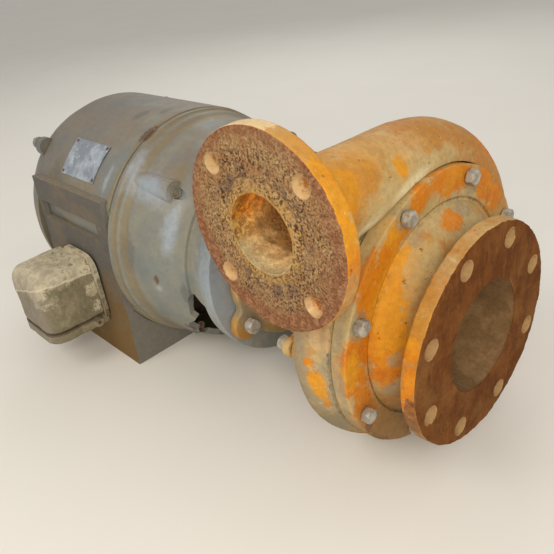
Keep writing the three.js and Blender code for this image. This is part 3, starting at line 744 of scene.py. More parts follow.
def base_paint():
    """Darker gray paint of the folded base plates, under brown dust that thickens towards the floor; faces
    turned along the shaft or up and down are lightened as painted light.
    """
    look = Look("base_paint")
    look.start((92, 89, 84), (106, 96, 83), look.clouds(50, 0.4, 0.62))
    low = look.line(look.noise(46, 4, seed=1), 170, look.z)
    dust = look.times(look.fade(low, 96, -60), look.fade(look.sideways, 0.4, 0.8))
    look.lay((116, 86, 34), dust, 0.85)
    # Painted light: faces that don't face sideways are lightened against their shade
    look.lay((126, 122, 112), look.fade(look.sideways, 0.6, 0.2), 0.7)
    look.lay((128, 114, 94), look.fade(look.up, 0.3, 0.9), 0.6)
    look.lay((96, 60, 32), look.clouds(10, 0.66, 0.7, 4, 0.65, seed=2), 0.8)
    look.lay((136, 128, 116), look.clouds(15, 0.62, 0.7, 4, 0.65, (0.35, 1, 1), 3), 0.4)
    look.grain(7, 0.08, seed=4)
    return look.finished(0.7, (look.noise(2, seed=5), 0.15), (look.noise(30, seed=6), 0.8), gloss=0.3)


def conduit_paint():
    """Whitish paint peeling from a gray-green sheet box, with a painted highlight along the crease and
    painted shade on its outer side.
    """
    look = Look("conduit_paint")
    look.start((122, 114, 90), (142, 131, 106), look.clouds(30, 0.4, 0.62))
    look.lay((104, 96, 70), look.clouds(12, 0.54, 0.66, 4, 0.65, seed=1), 0.6)
    look.lay((160, 148, 124), look.clouds(15, 0.54, 0.68, 4, 0.65, (1, 1, 0.4), 2), 0.5)
    white = look.soft("white", 12, 0.14, seed=3)
    film = look.mix((198, 187, 160), (174, 163, 140), look.clouds(14, 0.4, 0.6, 4, 0.65, seed=4))
    look.lay(film, white, 0.9)
    flakes = look.times(look.clouds(7.5, 0.57, 0.62, seed=5), look.fade(look.y, -240, -195))
    look.lay((112, 102, 76), flakes, 0.75)
    # Painted shade: the outer side is grayer and darker
    outer_side = look.fade(look.line(look.noise(20, 4, seed=6), 30, look.y), -232, -250)
    look.lay((138, 129, 120), outer_side, 0.6)
    # Painted highlight along the ridge of the crease
    look.lay((202, 190, 162), look.soft("pale", 6, 0.3, seed=7), 0.85)
    look.lay((84, 72, 54), look.clouds(6, 0.64, 0.72, 4, 0.7, seed=8), 0.5)
    look.lay((136, 92, 72), look.clouds(12, 0.72, 0.75, 3, seed=9), 0.6)
    look.lay(DIRT, look.soft("seam", 4, 0.25, seed=10), 0.6)
    look.grain(4, 0.07, seed=11)
    return look.finished(0.75, (white, 0.3), (look.noise(2, 4, 0.7, seed=12), 0.15), gloss=0.25)


def steel():
    """Dull dirty steel with traces of paint."""
    look = Look("bolt_steel")
    look.start((150, 144, 130), (188, 184, 172), look.clouds(9, 0.4, 0.62))
    look.lay((182, 122, 60), look.clouds(7, 0.6, 0.68, 5, seed=1), 0.7)
    look.lay((84, 66, 48), look.clouds(3.5, 0.58, 0.7, 5, 0.7, seed=2), 0.7)
    return look.finished(0.55, (look.noise(1.4, 4, 0.7, seed=3), 0.3), metal=0.2)


def rusty_iron():
    """Rough brown rust."""
    look = Look("rusty_iron")
    look.start((104, 66, 38), (74, 46, 30), look.clouds(9, 0.4, 0.62, 5, 0.7))
    look.lay((150, 92, 44), look.clouds(5, 0.56, 0.68, seed=1), 0.6)
    return look.finished(0.9, (look.noise(1.6, 4, 0.7, seed=2), 0.5), gloss=0.2)


def plate_metal():
    """Bright bluish sheet with scuffs, bright streaks as painted highlights, and rust at its pins."""
    look = Look("plate_metal")
    look.start((142, 150, 160), (180, 190, 202), look.clouds(40, 0.4, 0.64, 3))
    # Painted highlights: near-white streaks
    look.lay((226, 232, 240), look.clouds(7, 0.54, 0.7, 4, 0.65, (1, 0.4, 1), 1), 0.5)
    look.lay((140, 132, 122), look.clouds(11, 0.62, 0.7, seed=2), 0.6)
    look.lay((96, 66, 42), look.fade(look.field("pin"), 0.1, 0.5), 0.9)
    roughness = look.line(look.noise(7, 4, seed=3), 0.4, 0.25)
    return look.finished(roughness, (look.noise(12, seed=4), 0.5), metal=0.45)


def winding_varnish():
    """Dark varnish over wound wire."""
    look = Look("winding_varnish")
    look.start((48, 32, 24), (84, 62, 46), look.clouds(5, 0.42, 0.64))
    return look.finished(0.6, (look.noise(2, stretch=(0.3, 1, 1), seed=1), 0.6))


def floor_finish():
    look = Look("studio_floor")
    look.start((232, 229, 222), (234, 231, 225), look.clouds(300, 0.3, 0.7, 2))
    return look.finished(0.9, gloss=0.1)


# Paint in spots. A patch is x, angle, radius, and its half width across and half length round the
# shaft. A blot is x, y, z and a radius.
CASING_PATCHES = {
    "fresh": [
        (-105, 88, 167, 7, 6), (-98, 95, 165, 12, 11), (-96, 101, 164, 10, 13), (-92, 107, 162, 6, 9),
        (-100, 140, 172, 16, 22), (-100, 232, 186, 22, 34), (-84, 312, 186, 12, 60), (-110, 60, 168, 16, 18),
    ],
    "yellow": [(-98, 98, 164, 14, 24), (-96, 28, 226, 30, 40)],
    "haze": [
        (-84, 330, 188, 70, 110), (-110, 335, 204, 34, 50), (-62, 117, 161, 12, 34), (-110, 352, 204, 40, 70),
        (-110, 200, 180, 40, 120), (-110, 270, 196, 44, 100),
    ],
    "halo": [(-97, 84, 165, 10, 12), (-98, 96, 165, 11, 20)],
    # The olive spots in the valley by the cover ring are partly painted light.
    "olive": [(-64, 14, 166, 18, 100), (-72, 42, 172, 26, 110), (-90, 100, 162, 20, 60)],
    "gray": [
        (-100, 95, 166, 30, 56), (-100, 122, 168, 16, 24), (-116, 83, 166, 11, 18), (-112, 98, 168, 10, 26),
        (-80, 84, 161, 7, 26), (-76, 100, 161, 9, 34), (-126, 110, 164, 14, 60), (-84, 118, 163, 9, 20),
    ],
    "rust": [(-66, 126, 160, 5, 36), (-130, 80, 150, 8, 40)],
}
NOZZLE_BLOTS = {
    "fresh": [
        (-72, -134, 192, 22), (-66, -142, 172, 22), (-69, -50, 182, 10), (-96, -150, 212, 22),
        (-14, -198, 190, 38), (-30, -194, 224, 22), (-140, -194, 96, 30), (-190, -194, 140, 30),
        (-60, -192, 90, 26),
    ],
    "yellow": [
        (-56, -198, 246, 30), (-14, -198, 200, 34), (-84, -130, 198, 40), (-69, -50, 182, 14),
        (-78, -196, 254, 18), (-66, -126, 178, 16),
    ],
    "haze": [(-74, -104, 186, 26), (-106, -190, 165, 128)],
    "pale": [(-111, -193, 260, 24), (-140, -193, 254, 20), (-92, -158, 34, 14)],
}
COVER_PATCHES = {
    "fresh": [
        (-60, 37, 142, 15, 28), (-60, 53, 141, 16, 42), (-60, 82, 151, 15, 18), (-60, 93, 147, 15, 18),
        (-61, 90, 157, 9, 24), (-61, 50, 156, 8, 26), (-60, 110, 143, 15, 32), (-60, 352, 148, 18, 40),
        (-60, 324, 144, 18, 20), (-60, 311, 142, 16, 18), (-60, 42, 138, 16, 22), (-55, 72, 119, 20, 50),
        (-56, 58, 120, 14, 32), (-57, 38, 121, 7, 22), (-48, 80, 108, 20, 50), (-50, 100, 116, 13, 20),
        (-47, 358, 112, 12, 17), (-60, 200, 147, 16, 60), (-50, 230, 114, 16, 60), (-60, 258, 146, 16, 44),
        (-12, 74, 129, 9, 13), (-7, 86, 129, 8, 15), (-13, 97, 129, 8, 13), (-60, 13, 149, 13, 16),
        (-9, 250, 128, 12, 60),
    ],
    "yellow": [
        (-54, 38, 118, 16, 30), (-56, 55, 119, 18, 36), (-44, 66, 106, 22, 50), (-9, 60, 129, 12, 30),
        (-60, 31, 150, 14, 16), (-60, 88, 150, 12, 20),
    ],
    "haze": [
        (-48, 20, 112, 28, 50), (-48, 55, 110, 34, 100), (-8, 70, 128, 20, 190), (-60, 318, 150, 20, 50),
        (-60, 50, 140, 24, 110), (-8, 250, 128, 20, 160), (-50, 230, 118, 40, 160), (-60, 138, 148, 26, 60),
        (-48, 140, 120, 26, 60),
    ],
    # The olive spots at radius 162, in the valley by the ring, are partly painted light.
    "olive": [
        (-62, 48, 162, 13, 110), (-76, 40, 162, 10, 60), (-74, 70, 162, 9, 30), (-43, 34, 106, 18, 34),
        (-34, 54, 96, 9, 40), (-9, 30, 129, 9, 40), (-9, 352, 129, 9, 24), (-50, 1, 116, 22, 34),
        (-58, 5, 124, 8, 80), (-60, 340, 128, 8, 40), (-40, 350, 100, 18, 44),
    ],
    "gray": [
        (-60, 26, 150, 11, 9), (-60, 69, 146, 11, 13), (-55, 24, 119, 7, 9), (-52, 345, 117, 9, 14),
        (-44, 91, 106, 7, 7), (-38, 87, 101, 6, 8), (-46, 112, 111, 10, 10), (-60, 114, 150, 9, 7),
        (-60, 334, 136, 8, 10), (-72, 90, 161, 8, 60),
    ],
    "rust": [
        (-66, 135, 160, 7, 36), (-60, 122, 153, 5, 9), (-52, 140, 128, 8, 30), (-9, 110, 134, 9, 26),
        (-6, 101, 134, 7, 14),
    ],
}
BRACKET_PATCHES = {
    "fresh": [(-287, 128, 134, 7, 8), (-200, 20, 104, 30, 60), (-180, 160, 100, 30, 70)],
    "yellow": [(-287, 124, 130, 14, 26)],
    "haze": [(-220, 0, 100, 60, 300), (-150, 100, 138, 14, 100), (-287, 124, 128, 16, 26)],
    "olive": [(-285, 118, 106, 14, 26), (-240, 200, 98, 50, 120)],
    "gray": [(-240, 0, 98, 40, 60), (-282, 114, 106, 16, 34)],
    "rust": [(-160, 90, 120, 12, 100), (-165, 270, 120, 20, 120), (-190, 150, 100, 20, 60)],
}
BELL_PATCHES = {
    "ochre": [
        (-384, 44, 160, 12, 16), (-392, 40, 152, 16, 30), (-300, 112, 141, 10, 30), (-440, 104, 165, 8, 50),
    ],
    "rust": [(-474, 23, 173, 5, 14), (-392, 90, 155, 4, 7), (-390, 128, 154, 4, 14)],
    # Painted highlights on the boss and the bell, and painted light on the motor face, which lies in the
    # discharge flange's shade
    "pale": [
        (-296, 96, 128, 22, 80), (-372, 62, 147, 9, 30), (-416, 47, 167, 40, 17), (-391, 95, 155, 5, 4),
        (-460, 40, 171, 7, 26),
    ],
    "smudge": [(-352, 98, 140, 9, 20), (-440, 80, 164, 12, 26)],
}
SHELL_PATCHES = {
    "smudge": [(-539, 12.5, 175, 9, 16), (-506, 5, 175, 7, 12), (-640, 60, 176, 20, 30)],
    "rust": [(-480, 23, 175, 6, 16)],
    # Painted highlight: a pale line on the shell by the front rim
    "pale": [(-500, 50, 176, 4, 18)],
}
SHELL_OCHRE_BLOTS = [(-550, -154, 40, 60), (-630, -154, 40, 60)]
CONDUIT_WHITE_BLOTS = [
    (-541, -180, -56, 20), (-541, -176, -84, 18), (-560, -262, -20, 50), (-541, -215, -12, 20),
    (-539, -212, -26, 14),
]


# Pump end


def flange_pits(points):
    """Depth from 0 to 1 of the corrosion pits in the discharge face, thinner outside a band."""
    radius = off_line(points, DISCHARGE.centre, 1)
    on_face = np.abs(points[:, 1] - DISCHARGE.y) < 2.4
    wide = np.clip((lumps(points, 3.8, seed=4) - 0.28) * 4, 0, 1)
    small = np.clip((lumps(points, 2.2, seed=5) - 0.2) * 4, 0, 1)
    many = np.clip(0.55 + 1.3 * lumps(points, 30, seed=6), 0.15, 1)
    share = np.clip((radius - PITS.inner) / 4, 0, 1) * np.clip((PITS.outer - radius) / 12, 0.3, 1)
    return np.maximum(wide, 0.8 * small) * many * share * on_face * (radius < PITS.most)


def in_holes(points, axis, centres, hole, middle, reach):
    """Field of the walls of holes along an axis: 1 at the middle depth and 0 at its reach. It paints the
    walls pale as painted light, and its fall towards both ends is painted shade.
    """
    flat = np.delete(points, axis, axis=1)
    away = np.min([np.linalg.norm(flat - centre, axis=1) for centre in centres], axis=0)
    return np.where(away < hole + 0.9, 1.3 - np.abs(points[:, axis] - middle) / reach, -3)


def volute_casing(looks):
    """Scroll, nozzle and discharge flange in one casting."""
    seat, back, core, face = CASING.seat, CASING.back, CASING.core, DISCHARGE.y
    lean = (SCROLL.x - DISCHARGE.centre[0]) / -face, NOZZLE.drop / face
    start = DISCHARGE.centre[0] - lean[0] * face, DISCHARGE.centre[1] - lean[1] * face
    second = SCROLL.turn - SCROLL.lap
    body = scroll("volute", SCROLL_ANGLE[0], SCROLL.turn)
    join(
        body,
        scroll("tool", second, SCROLL.end),
        turned("tool", [(back, core), (back, CASING.back_radius), (seat, CASING.rim), (seat, core)], 160),
        rod(face + 8, 4, NOZZLE.outer, start, 1, 96, lean),
        *[rod(back, back + 22, CASING_JOINT.ear, place) for place in CASING_EARS],
    )
    blended(body, voxel=3.2, passes=9)
    weathered(body, (1.0, 46), (0.5, 11), (0.25, 4), seed=1)
    join(body, discharge_flange())
    cover_room = rounded([(seat, 0), (seat, 161.7), (-63, 161.7, 0), (-40, 176), (5, 176), (5, 0)], 1)
    bracket_radius = BRACKET.radius + 1
    bracket_room = [(back, 0), (back, bracket_radius), (-200, bracket_radius), (-200, 0)]
    chamber = [(back - 5, 0), (back - 5, CHAMBER.radius), (-75, CHAMBER.wide), (-75, 0)]
    cut(
        body,
        turned("tool", cover_room, 160),
        turned("tool", bracket_room, 160),
        rods(back, -200, CASING_JOINT.ear + 1, CASING_EARS),
        rods(back - 5, back + 7, JOINT_HOLE, CASING_EARS),
        turned("tool", chamber, 120),
    )
    wall = box_tool((CASING.wall, -300, -300), (0, 300, 300))
    passage = join(
        scroll("tool", SCROLL_ANGLE[0] + 14, SCROLL.turn, SCROLL.wall),
        scroll("tool", second, SCROLL.end - 10, SCROLL.wall),
    )
    cut(body, combine(passage, "INTERSECT", wall))
    bore_outline = finely([(-209, 0), (-209, NOZZLE.bore), (0, NOZZLE.bore), (0, 0)], 3)
    bore = weathered(turned("tool", bore_outline, 120, start, 1, lean), (1.0, 14), (0.5, 4), seed=3)
    depth = DISCHARGE.thick + 5
    holes = [rim_cutter(face, depth, DISCHARGE.hole, place, 1, -1) for place in DISCHARGE_HOLES]
    cut(body, bore, gathered(holes))
    points = places(body)
    pits = flange_pits(points)
    sunk(body, pits)
    y = points[:, 1]
    edge = np.clip(1 - (y - face) / 3, 0, 1) * (off_line(points, DISCHARGE.centre, 1) > 92)
    field, near = drawn(patches, points, CASING_PATCHES), drawn(blots, points, NOZZLE_BLOTS)
    halo = field.pop("halo")
    field["gray"] = np.minimum.reduce([field["gray"], 0.2 - 2 * field["fresh"], 0.1 - halo])
    field["haze"] = np.maximum(field["haze"], halo)
    field["rust"] = np.maximum(edge * 1.2 - 0.9, field["rust"])
    # Pale discharge hole walls: painted light, with painted shade towards both ends
    field["pale"] = in_holes(points, 1, DISCHARGE_HOLES, DISCHARGE.hole, face + 7, 7)
    near["pale"] = np.where(y > face + 2.5, near["pale"], -3)
    for name in near:
        field[name] = np.maximum(field[name], near[name])
    note(body, PUMP_FIELDS, pit=pits, seam=seams(points, [(seat, 162)], 2.5), **field)
    piece = settled(body, "pump_casting", looks, "volute_casing")

    def rusty(middle, _):
        away = off_line(middle, DISCHARGE.centre, 1)
        on_face = (middle[:, 1] < face + DISCHARGE_RUST.depth) & (away < DISCHARGE_RUST.radius)
        return on_face | ((away < DISCHARGE_RUST.bore) & (middle[:, 1] < DISCHARGE_RUST.bore_end))

    choose_look(piece, 1, rusty)


def scroll(name, start, end, inset=0):
    """Stretch of the scroll between two angles, thinner by the inset all round."""
    angles = np.arange(start, end + 0.1, (end - start) / round((end - start) / 3))

    def smoothed(values):
        near = [np.interp(angles + d, SCROLL_ANGLE, values) for d in (-14, -7, 0, 7, 14)]
        return np.mean(near, axis=0) - inset

    bend = np.radians(np.linspace(-90, 90, 25))
    rings = []
    for angle, top, width in zip(angles, smoothed(SCROLL_RADIUS), smoothed(SCROLL_HALF_WIDTH)):
        crown = width * SCROLL.crown
        x = np.concatenate([[-width], width * np.sin(bend), [width]]) + SCROLL.x
        radius = np.concatenate([[SCROLL.inner], top - crown + crown * np.cos(bend), [SCROLL.inner]])
        rings.append(np.stack([x, *around(radius, angle)], axis=1))
    return loft(name, rings)


def discharge_flange():
    """Flange with a raised ring at its bore and a fillet to the nozzle."""
    face, radius = DISCHARGE.y, DISCHARGE.radius
    back, bore, outer = face + DISCHARGE.thick, NOZZLE.bore - 4, NOZZLE.outer
    outline = [
        (face, bore, 0), (face, 46, 1), (face + 1.8, 47.5, 1), (face + 1.8, 50, 1), (face + 0.6, 53, 1),
        (face + 0.6, radius - 1.5, 1.5), (face + 3, radius, 1.5), (back, radius, 3), (back, outer + 4, 8),
        (back + 30, outer - 1.5, 8), (back + 30, bore, 0),
    ]
    flange = lathed("tool", outline, 1, 1.4, 420, DISCHARGE.centre, 1)
    weathered(flange, (0.5, 9), (0.35, 3), seed=2)
    return nibbled(flange, 1, face, DISCHARGE.centre, radius)


def suction_mouth():
    """Suction flange and neck, with the bore still to be cut."""
    radius, back, core = SUCTION.radius, -SUCTION.thick, SUCTION.core
    outline = [
        (0, core, 0), (0, radius - 1, 2.5), (back, radius + 0.5, 3), (back - 1, NECK.root, 6),
        (back - 8, NECK.radius, 6), (NECK.back, NECK.radius, 0), (NECK.back, core, 0),
    ]
    mouth = lathed("suction", outline, 1, 2.2, 360, SUCTION.centre)
    weathered(mouth, (0.8, 30), (0.5, 9), (0.35, 3.2), seed=6)
    return nibbled(mouth, 0, 0, SUCTION.centre, radius)


def suction_dish():
    """Dish and bolting ring."""
    core, front, back = SUCTION.core, PLATE.front, PLATE.back
    power = 2 / DISH.fullness
    reach, swell = DISH.front - front + 1, DISH.radius - DISH.neck
    curve = [
        (front - 1 + reach * math.cos(a) ** power, DISH.neck + swell * math.sin(a) ** power, 0)
        for a in np.radians(np.linspace(2, 88, 22))
    ]
    outline = [
        (DISH.front, core, 0), *curve, (front - 2, DISH.radius + 1, 1), (front, DISH.radius + 4, 1),
        (front, PLATE.radius, 2.5), (back, PLATE.radius, 2), (back, CHAMBER.wide, 0), (PLATE.inside, 100, 0),
        (PLATE.inside, core, 0),
    ]
    return weathered(lathed("tool", outline, 1, 3, 300), (0.9, 40), (0.45, 10), (0.25, 4), seed=9)


def suction_cover(looks):
    """Suction flange, neck, dish and bolting ring in one casting."""
    cover = join(suction_mouth(), suction_dish())
    reach = PLATE.inside - 5
    slope = SUCTION.centre[0] / -reach, SUCTION.centre[1] / -reach
    mouth = SUCTION.bore + 1
    bore_outline = finely([(reach, 0), (reach, EYE_RADIUS), (0, SUCTION.bore), (6, mouth), (6, 0)], 3)
    bore = turned("tool", bore_outline, 160, SUCTION.centre, 0, slope)
    weathered(bore, (1.2, 20), (0.5, 5), seed=12)
    depth = SUCTION.thick + 4
    holes = [rim_cutter(0, depth, SUCTION.hole, place, 0, 1) for place in SUCTION_HOLES]
    cut(cover, bore, gathered(holes), rods(PLATE.front + 5, PLATE.back - 5, SCREW.hole, SCREWS))
    points = places(cover)
    x, away = points[:, 0], off_line(points, SUCTION.centre, 0)
    edge = np.clip(1 + x / 4, 0, 1) * (away > 120)
    field = drawn(patches, points, COVER_PATCHES)
    field["olive"] = np.minimum(field["olive"], 0.4)
    field["gray"] = np.minimum(field["gray"], 0.1)
    field["rust"] = np.maximum(edge * 1.3 - 0.9, field["rust"])
    plate_seam = seams(points, [(PLATE.front, DISH.radius + 2)], 2.2)
    neck_seam = 1 - np.hypot(x + 26, away - NECK.radius) / 4
    note(
        cover,
        PUMP_FIELDS,
        bore=np.clip(68 - away, 0, 1) * np.clip((-1 - x) / 2, 0, 1),
        # Pale suction hole walls: painted light, with painted shade towards both ends
        pale=in_holes(points, 0, SUCTION_HOLES, SUCTION.hole, -SUCTION.thick / 2, SUCTION.thick / 2),
        seam=np.maximum(plate_seam, neck_seam),
        **field,
    )
    piece = settled(cover, "pump_casting", looks, "suction_cover")

    def rusty(middle, facing):
        away = off_line(middle, SUCTION.centre, 0)
        on_face = (middle[:, 0] > -SUCTION_RUST.depth) & (away < SUCTION_RUST.radius)
        return on_face | ((away < mouth) & (facing[:, 0] > SUCTION_RUST.facing))

    choose_look(piece, 1, rusty)


def bolt(node, kind, face, side, place, size, turn, looks, slot="fastener"):
    """Hexagon with a chamfered top and a washer face, worn and a little rounded."""
    corner = size.width / 2 / math.cos(math.pi / 6)
    seat, top = face + side * GAP, face + side * size.head
    angles = np.radians(np.arange(6) * 60 + turn)
    hexagon = [(corner * np.cos(a), corner * np.sin(a)) for a in angles]
    rings = [[(x, place[0] + y, place[1] + z) for y, z in hexagon] for x in (seat, top)]
    piece = loft(f"{node}_{kind}", rings)
    dome = rounded([
        (seat, 0, 0), (seat, corner * 0.93, 0.3), (seat + side * 1.2, corner * 0.96, 0.3),
        (seat + side * 1.4, corner * 1.1, 0), (top - side * size.head * 0.3, corner * 1.1, 0),
        (top, corner * 0.8, 1.5), (top, 0, 0),
    ], 0.3)
    combine(piece, "INTERSECT", turned("tool", dome, 48, place))
    worn_edges(piece, 0.7)
    bake(piece)
    settled(piece, slot, looks, node)


def bolts(looks):
    """Heads of the cover's screws and of the bolts of the bracket and the casing."""
    for i, place in enumerate(SCREWS):
        bolt(f"cover_screw_{i + 1}", "head", PLATE.front, 1, place, SCREW, 37 * i, looks)
    for i in range(4):
        bolt(f"bracket_bolt_{i + 1}", "head", EAR_FRONT, 1, MOTOR_EARS[i], MOTOR_JOINT, 23 * i, looks)
        bolt(f"casing_bolt_{i + 1}", "head", BRACKET.back, -1, CASING_EARS[i], CASING_JOINT, 41 * i, looks)


def window_tool(turn):
    """Wedge of a ring for a window of the bracket, turned round the shaft."""
    front, back, inner, outer = WINDOW.front, WINDOW.back, WINDOW.inner, WINDOW.outer
    corners = [(front, inner), (back, inner), (back, outer), (front, outer)]
    steps = round((WINDOW.end - WINDOW.start) / 1.5)
    angles = np.linspace(WINDOW.start + turn, WINDOW.end + turn, steps)
    return loft("tool", [[(x, *around(r, angle)) for x, r in corners] for angle in angles])


def bracket(looks):
    """Casting between the casing and the motor face."""
    seat = MOTOR_FACE + GAP
    radius, wall, end, lead = BRACKET_NECK.radius, BRACKET_NECK.wall, BRACKET_NECK.end, BRACKET_NECK.lead
    front, back, foot, bore = BRACKET.front, BRACKET.back, BRACKET.foot, BRACKET.bore
    outline = [
        (front, bore), (front, BRACKET.radius), (back, BRACKET.radius), (back, radius + lead),
        (back - lead, radius), (EAR_FRONT + lead, end), (EAR_FRONT, end + lead), (EAR_FRONT, foot),
        (seat, foot), (seat, end - wall), (back - lead, radius - wall), (back, radius - wall - lead),
        (back, bore),
    ]
    body = lathed("bracket_casting", outline, 2, 4, 200)
    join(
        body,
        rods(front, back, CASING_JOINT.ear, CASING_EARS),
        rods(EAR_FRONT, seat, MOTOR_JOINT.ear, MOTOR_EARS, 48),
    )
    cut(body, window_tool(0))
    cut(body, window_tool(180))
    blended(body, voxel=2.6, passes=4)
    weathered(body, (0.6, 30), (0.5, 8), (0.3, 3.5), seed=15)
    cut(
        body,
        rods(front + 5, back - 5, JOINT_HOLE, CASING_EARS),
        rods(EAR_FRONT + 5, MOTOR_FACE - 5, JOINT_HOLE, MOTOR_EARS),
    )
    points = places(body)
    seam = seams(points, [(EAR_FRONT, end), (back, radius)], 4)
    note(body, PUMP_FIELDS, seam=seam, **drawn(patches, points, BRACKET_PATCHES))
    settled(body, "pump_casting", looks, "bracket")


def seal_and_shaft(looks):
    """Seal housing with a stepped gland, and the shaft with a worn stretch."""
    seat, fit = BRACKET.back - GAP, SHAFT_RADIUS + GAP
    end = seat - 34
    outline = [(seat, fit, 0), (seat, 78, 1), (seat - 12, 78), (seat - 14, 46, 5), (end, 42), (end, fit, 0)]
    housing = lathed("seal_housing_casting", outline, 2, 4, 96)
    weathered(housing, (0.7, 14), (0.5, 5), seed=18)
    settled(housing, "rusty_iron", looks, "seal_housing")
    low, high = span("shaft")
    worn = SHAFT_RADIUS - 0.8
    outline = [
        (high[0], 0, 0), (high[0], SHAFT_RADIUS, 1), (-200, SHAFT_RADIUS, 0), (-201, worn, 0),
        (-262, worn, 0), (-263, SHAFT_RADIUS, 0), (low[0], SHAFT_RADIUS, 1), (low[0], 0, 0),
    ]
    shaft = lathed("shaft_bar", outline, 0.5, 8, 72)
    weathered(shaft, (0.3, 12), (0.2, 4), seed=20)
    settled(shaft, "rusty_iron", looks, "shaft")


# Motor


# Torn opening of the bell: angle and x along its rear and front edge
TORN_REAR = [
    (97, -346), (100, -352), (105, -356), (110, -361), (113, -364), (117, -361), (120, -368), (123, -383),
    (126, -387), (130, -388), (140, -386), (147, -381), (152, -386), (158, -393), (163, -390), (166, -382),
]
TORN_FRONT = [(97, -343), (102, -333), (106, -318), (166, -318)]


def tear(side):
    """Tool for the torn opening on one side of the bell: 1 towards the discharge, -1 away from it."""
    angles = np.arange(TORN_REAR[0][0], TORN_REAR[-1][0] + 0.1, 0.5)
    rear = np.interp(angles, *zip(*TORN_REAR))
    front = np.interp(angles, *zip(*TORN_FRONT))
    rings = []
    for angle, back, end in zip(angles, rear, front):
        ragged = back + 0.9 * noise.fractal(Vector((angle / 4, side, 0)), 1.0, 2.0, 2)
        corners = [(ragged, 110), (end, 110), (end, 190), (ragged, 190)]
        rings.append([(x, *around(r, side * angle)) for x, r in corners])
    return loft("tool", rings)


def bell_bosses():
    """Centre, radius and front end of each boss for a through bolt."""
    return [
        (around(kind.ring, angle), kind.radius, kind.front)
        for kind in (UPPER_BOLTS, LOWER_BOLTS)
        for angle in kind.angles
    ]


def front_bell(looks):
    """Hollow end bell with bosses, a stepped rim and torn openings low on both sides."""
    rim = FRAME.front + GAP
    outside = [
        (rim, 173.5, 1.5), (-467, 173.5, 1.5), (-465, 170.5, 1), (-455, 170.5, 2), (-446, 164, 6),
        (-405, 159, 10), (-386, 154, 8), (-372, 147, 8), (-358, 142, 6), (-345, 140, 1), (-344, 134.5, 1),
        (-318, 134.5, 1), (-317, 140, 1), (MOTOR_FACE, 140, 2),
    ]
    hub = [(MOTOR_FACE, 25, 1), (-340, 25, 1), (-340, 52, 3), (-312, 58, 5), (-306, 126, 6)]
    inside = [(-345, 126, 3), (-358, 133, 3), (-376, 139, 3), (-395, 147, 3), (-430, 154, 5), (rim, 156, 0)]
    bell = lathed("front_bell_casting", outside + hub + inside, 1, 3, 300)
    hollow_end = BOSS.back - 5
    hollow = [
        (hollow_end, 0), (hollow_end, 158), (-446, 158), (-405, 152.5), (-386, 148), (-372, 142), (-350, 136),
        (-350, 0),
    ]
    for place, radius, front in bell_bosses():
        join(bell, cut(stud(BOSS.back, front, radius, place), turned("tool", hollow, 120)))
    weathered(bell, (1.0, 60), (0.3, 14), seed=22)
    pads = [(place, front) for place, _, front in bell_bosses()]
    cut(bell, gathered([rod(front - 12, front + 5, BOSS.hole, place) for place, front in pads]))
    cut(bell, gathered([rod(front, front + 14, BOSS.pad + 1, place) for place, front in pads]))
    cut(bell, tear(1), tear(-1))
    points = places(bell)
    field = drawn(patches, points, BELL_PATCHES)
    field["ochre"] = np.maximum(seams(points, [(-463, 171), (-447, 165)], 6.5), field["ochre"])
    note(bell, MOTOR_FIELDS, **field)
    settled(bell, "motor_gray", looks, "front_bell")
    for i, (place, front) in enumerate(pads):
        through_bolt(i, place, front, looks)


def through_bolt(i, place, front, looks):
    """End of a through bolt: a round pad with a groove round its middle; the last two, which show in the torn
    openings, are given the dark rust colour as painted shade.
    """
    top, groove = front + BOSS.height, front + 1.6
    outline = [
        (front + GAP, 0), (front + GAP, BOSS.pad), (top, BOSS.pad, 0.5), (top, 6, 0.5), (groove, 5.5, 0.5),
        (groove, 4, 0.5), (top - 0.4, 3.4, 0.5), (top - 0.4, 0, 0),
    ]
    pad = lathed(f"through_bolt_{i + 1}_end", outline, 0.4, 1.5, 40, place)
    weathered(pad, (0.25, 5), seed=24)
    flat = np.ones(len(pad.data.vertices))
    # The lower bolts' ends get the dark rust colour as painted shade inside the openings
    note(pad, MOTOR_FIELDS, ochre=0.1 * flat, rust=(i - 1.5) * flat)
    settled(pad, "motor_gray", looks, f"through_bolt_{i + 1}")


def end_winding(look):
    """Lumpy winding head, laced round and round."""
    rim = FRAME.front + GAP
    outline = [(rim, 96), (rim, 140), (-452, 144), (-436, 136), (-430, 118), (-436, 100)]
    winding = lathed("end_winding_coils", outline, 8, 3, 260)
    points = places(winding)
    x, _, angle = polar(points)
    lacing = np.abs(np.sin(np.radians(angle * 12 + x * 2))) ** 0.5
    sunk(winding, (1 - lacing) * 3 + 1.2 * np.clip(0.5 + lumps(points, 6), 0, 1))
    settled(winding, "winding", [look], "end_winding")


def stator_frame(look):
    """Round shell, flat behind the side plates and underneath."""
    front, back, radius = FRAME.front, FRAME.back, FRAME.radius
    outline = [
        (front, 0, 0), (front, radius - 1, 1.5), (front - 3, radius, 1), (back + 3, radius, 2),
        (back, radius - 3, 1), (back, 0, 0),
    ]
    shell = weathered(lathed("stator_shell", outline, 1, 5, 300), (1.0, 80), (0.25, 16), seed=26)
    flats = box_tool((back - 10, -FRAME.flat, FRAME.bottom), (front + 10, FRAME.flat, 200))
    combine(shell, "INTERSECT", flats)
    points = places(shell)
    ochre = np.maximum(seams(points, [(front, radius)], 6), blots(points, SHELL_OCHRE_BLOTS))
    note(shell, MOTOR_FIELDS, ochre=ochre, **drawn(patches, points, SHELL_PATCHES))
    settled(shell, "motor_gray", [look], "stator_frame")


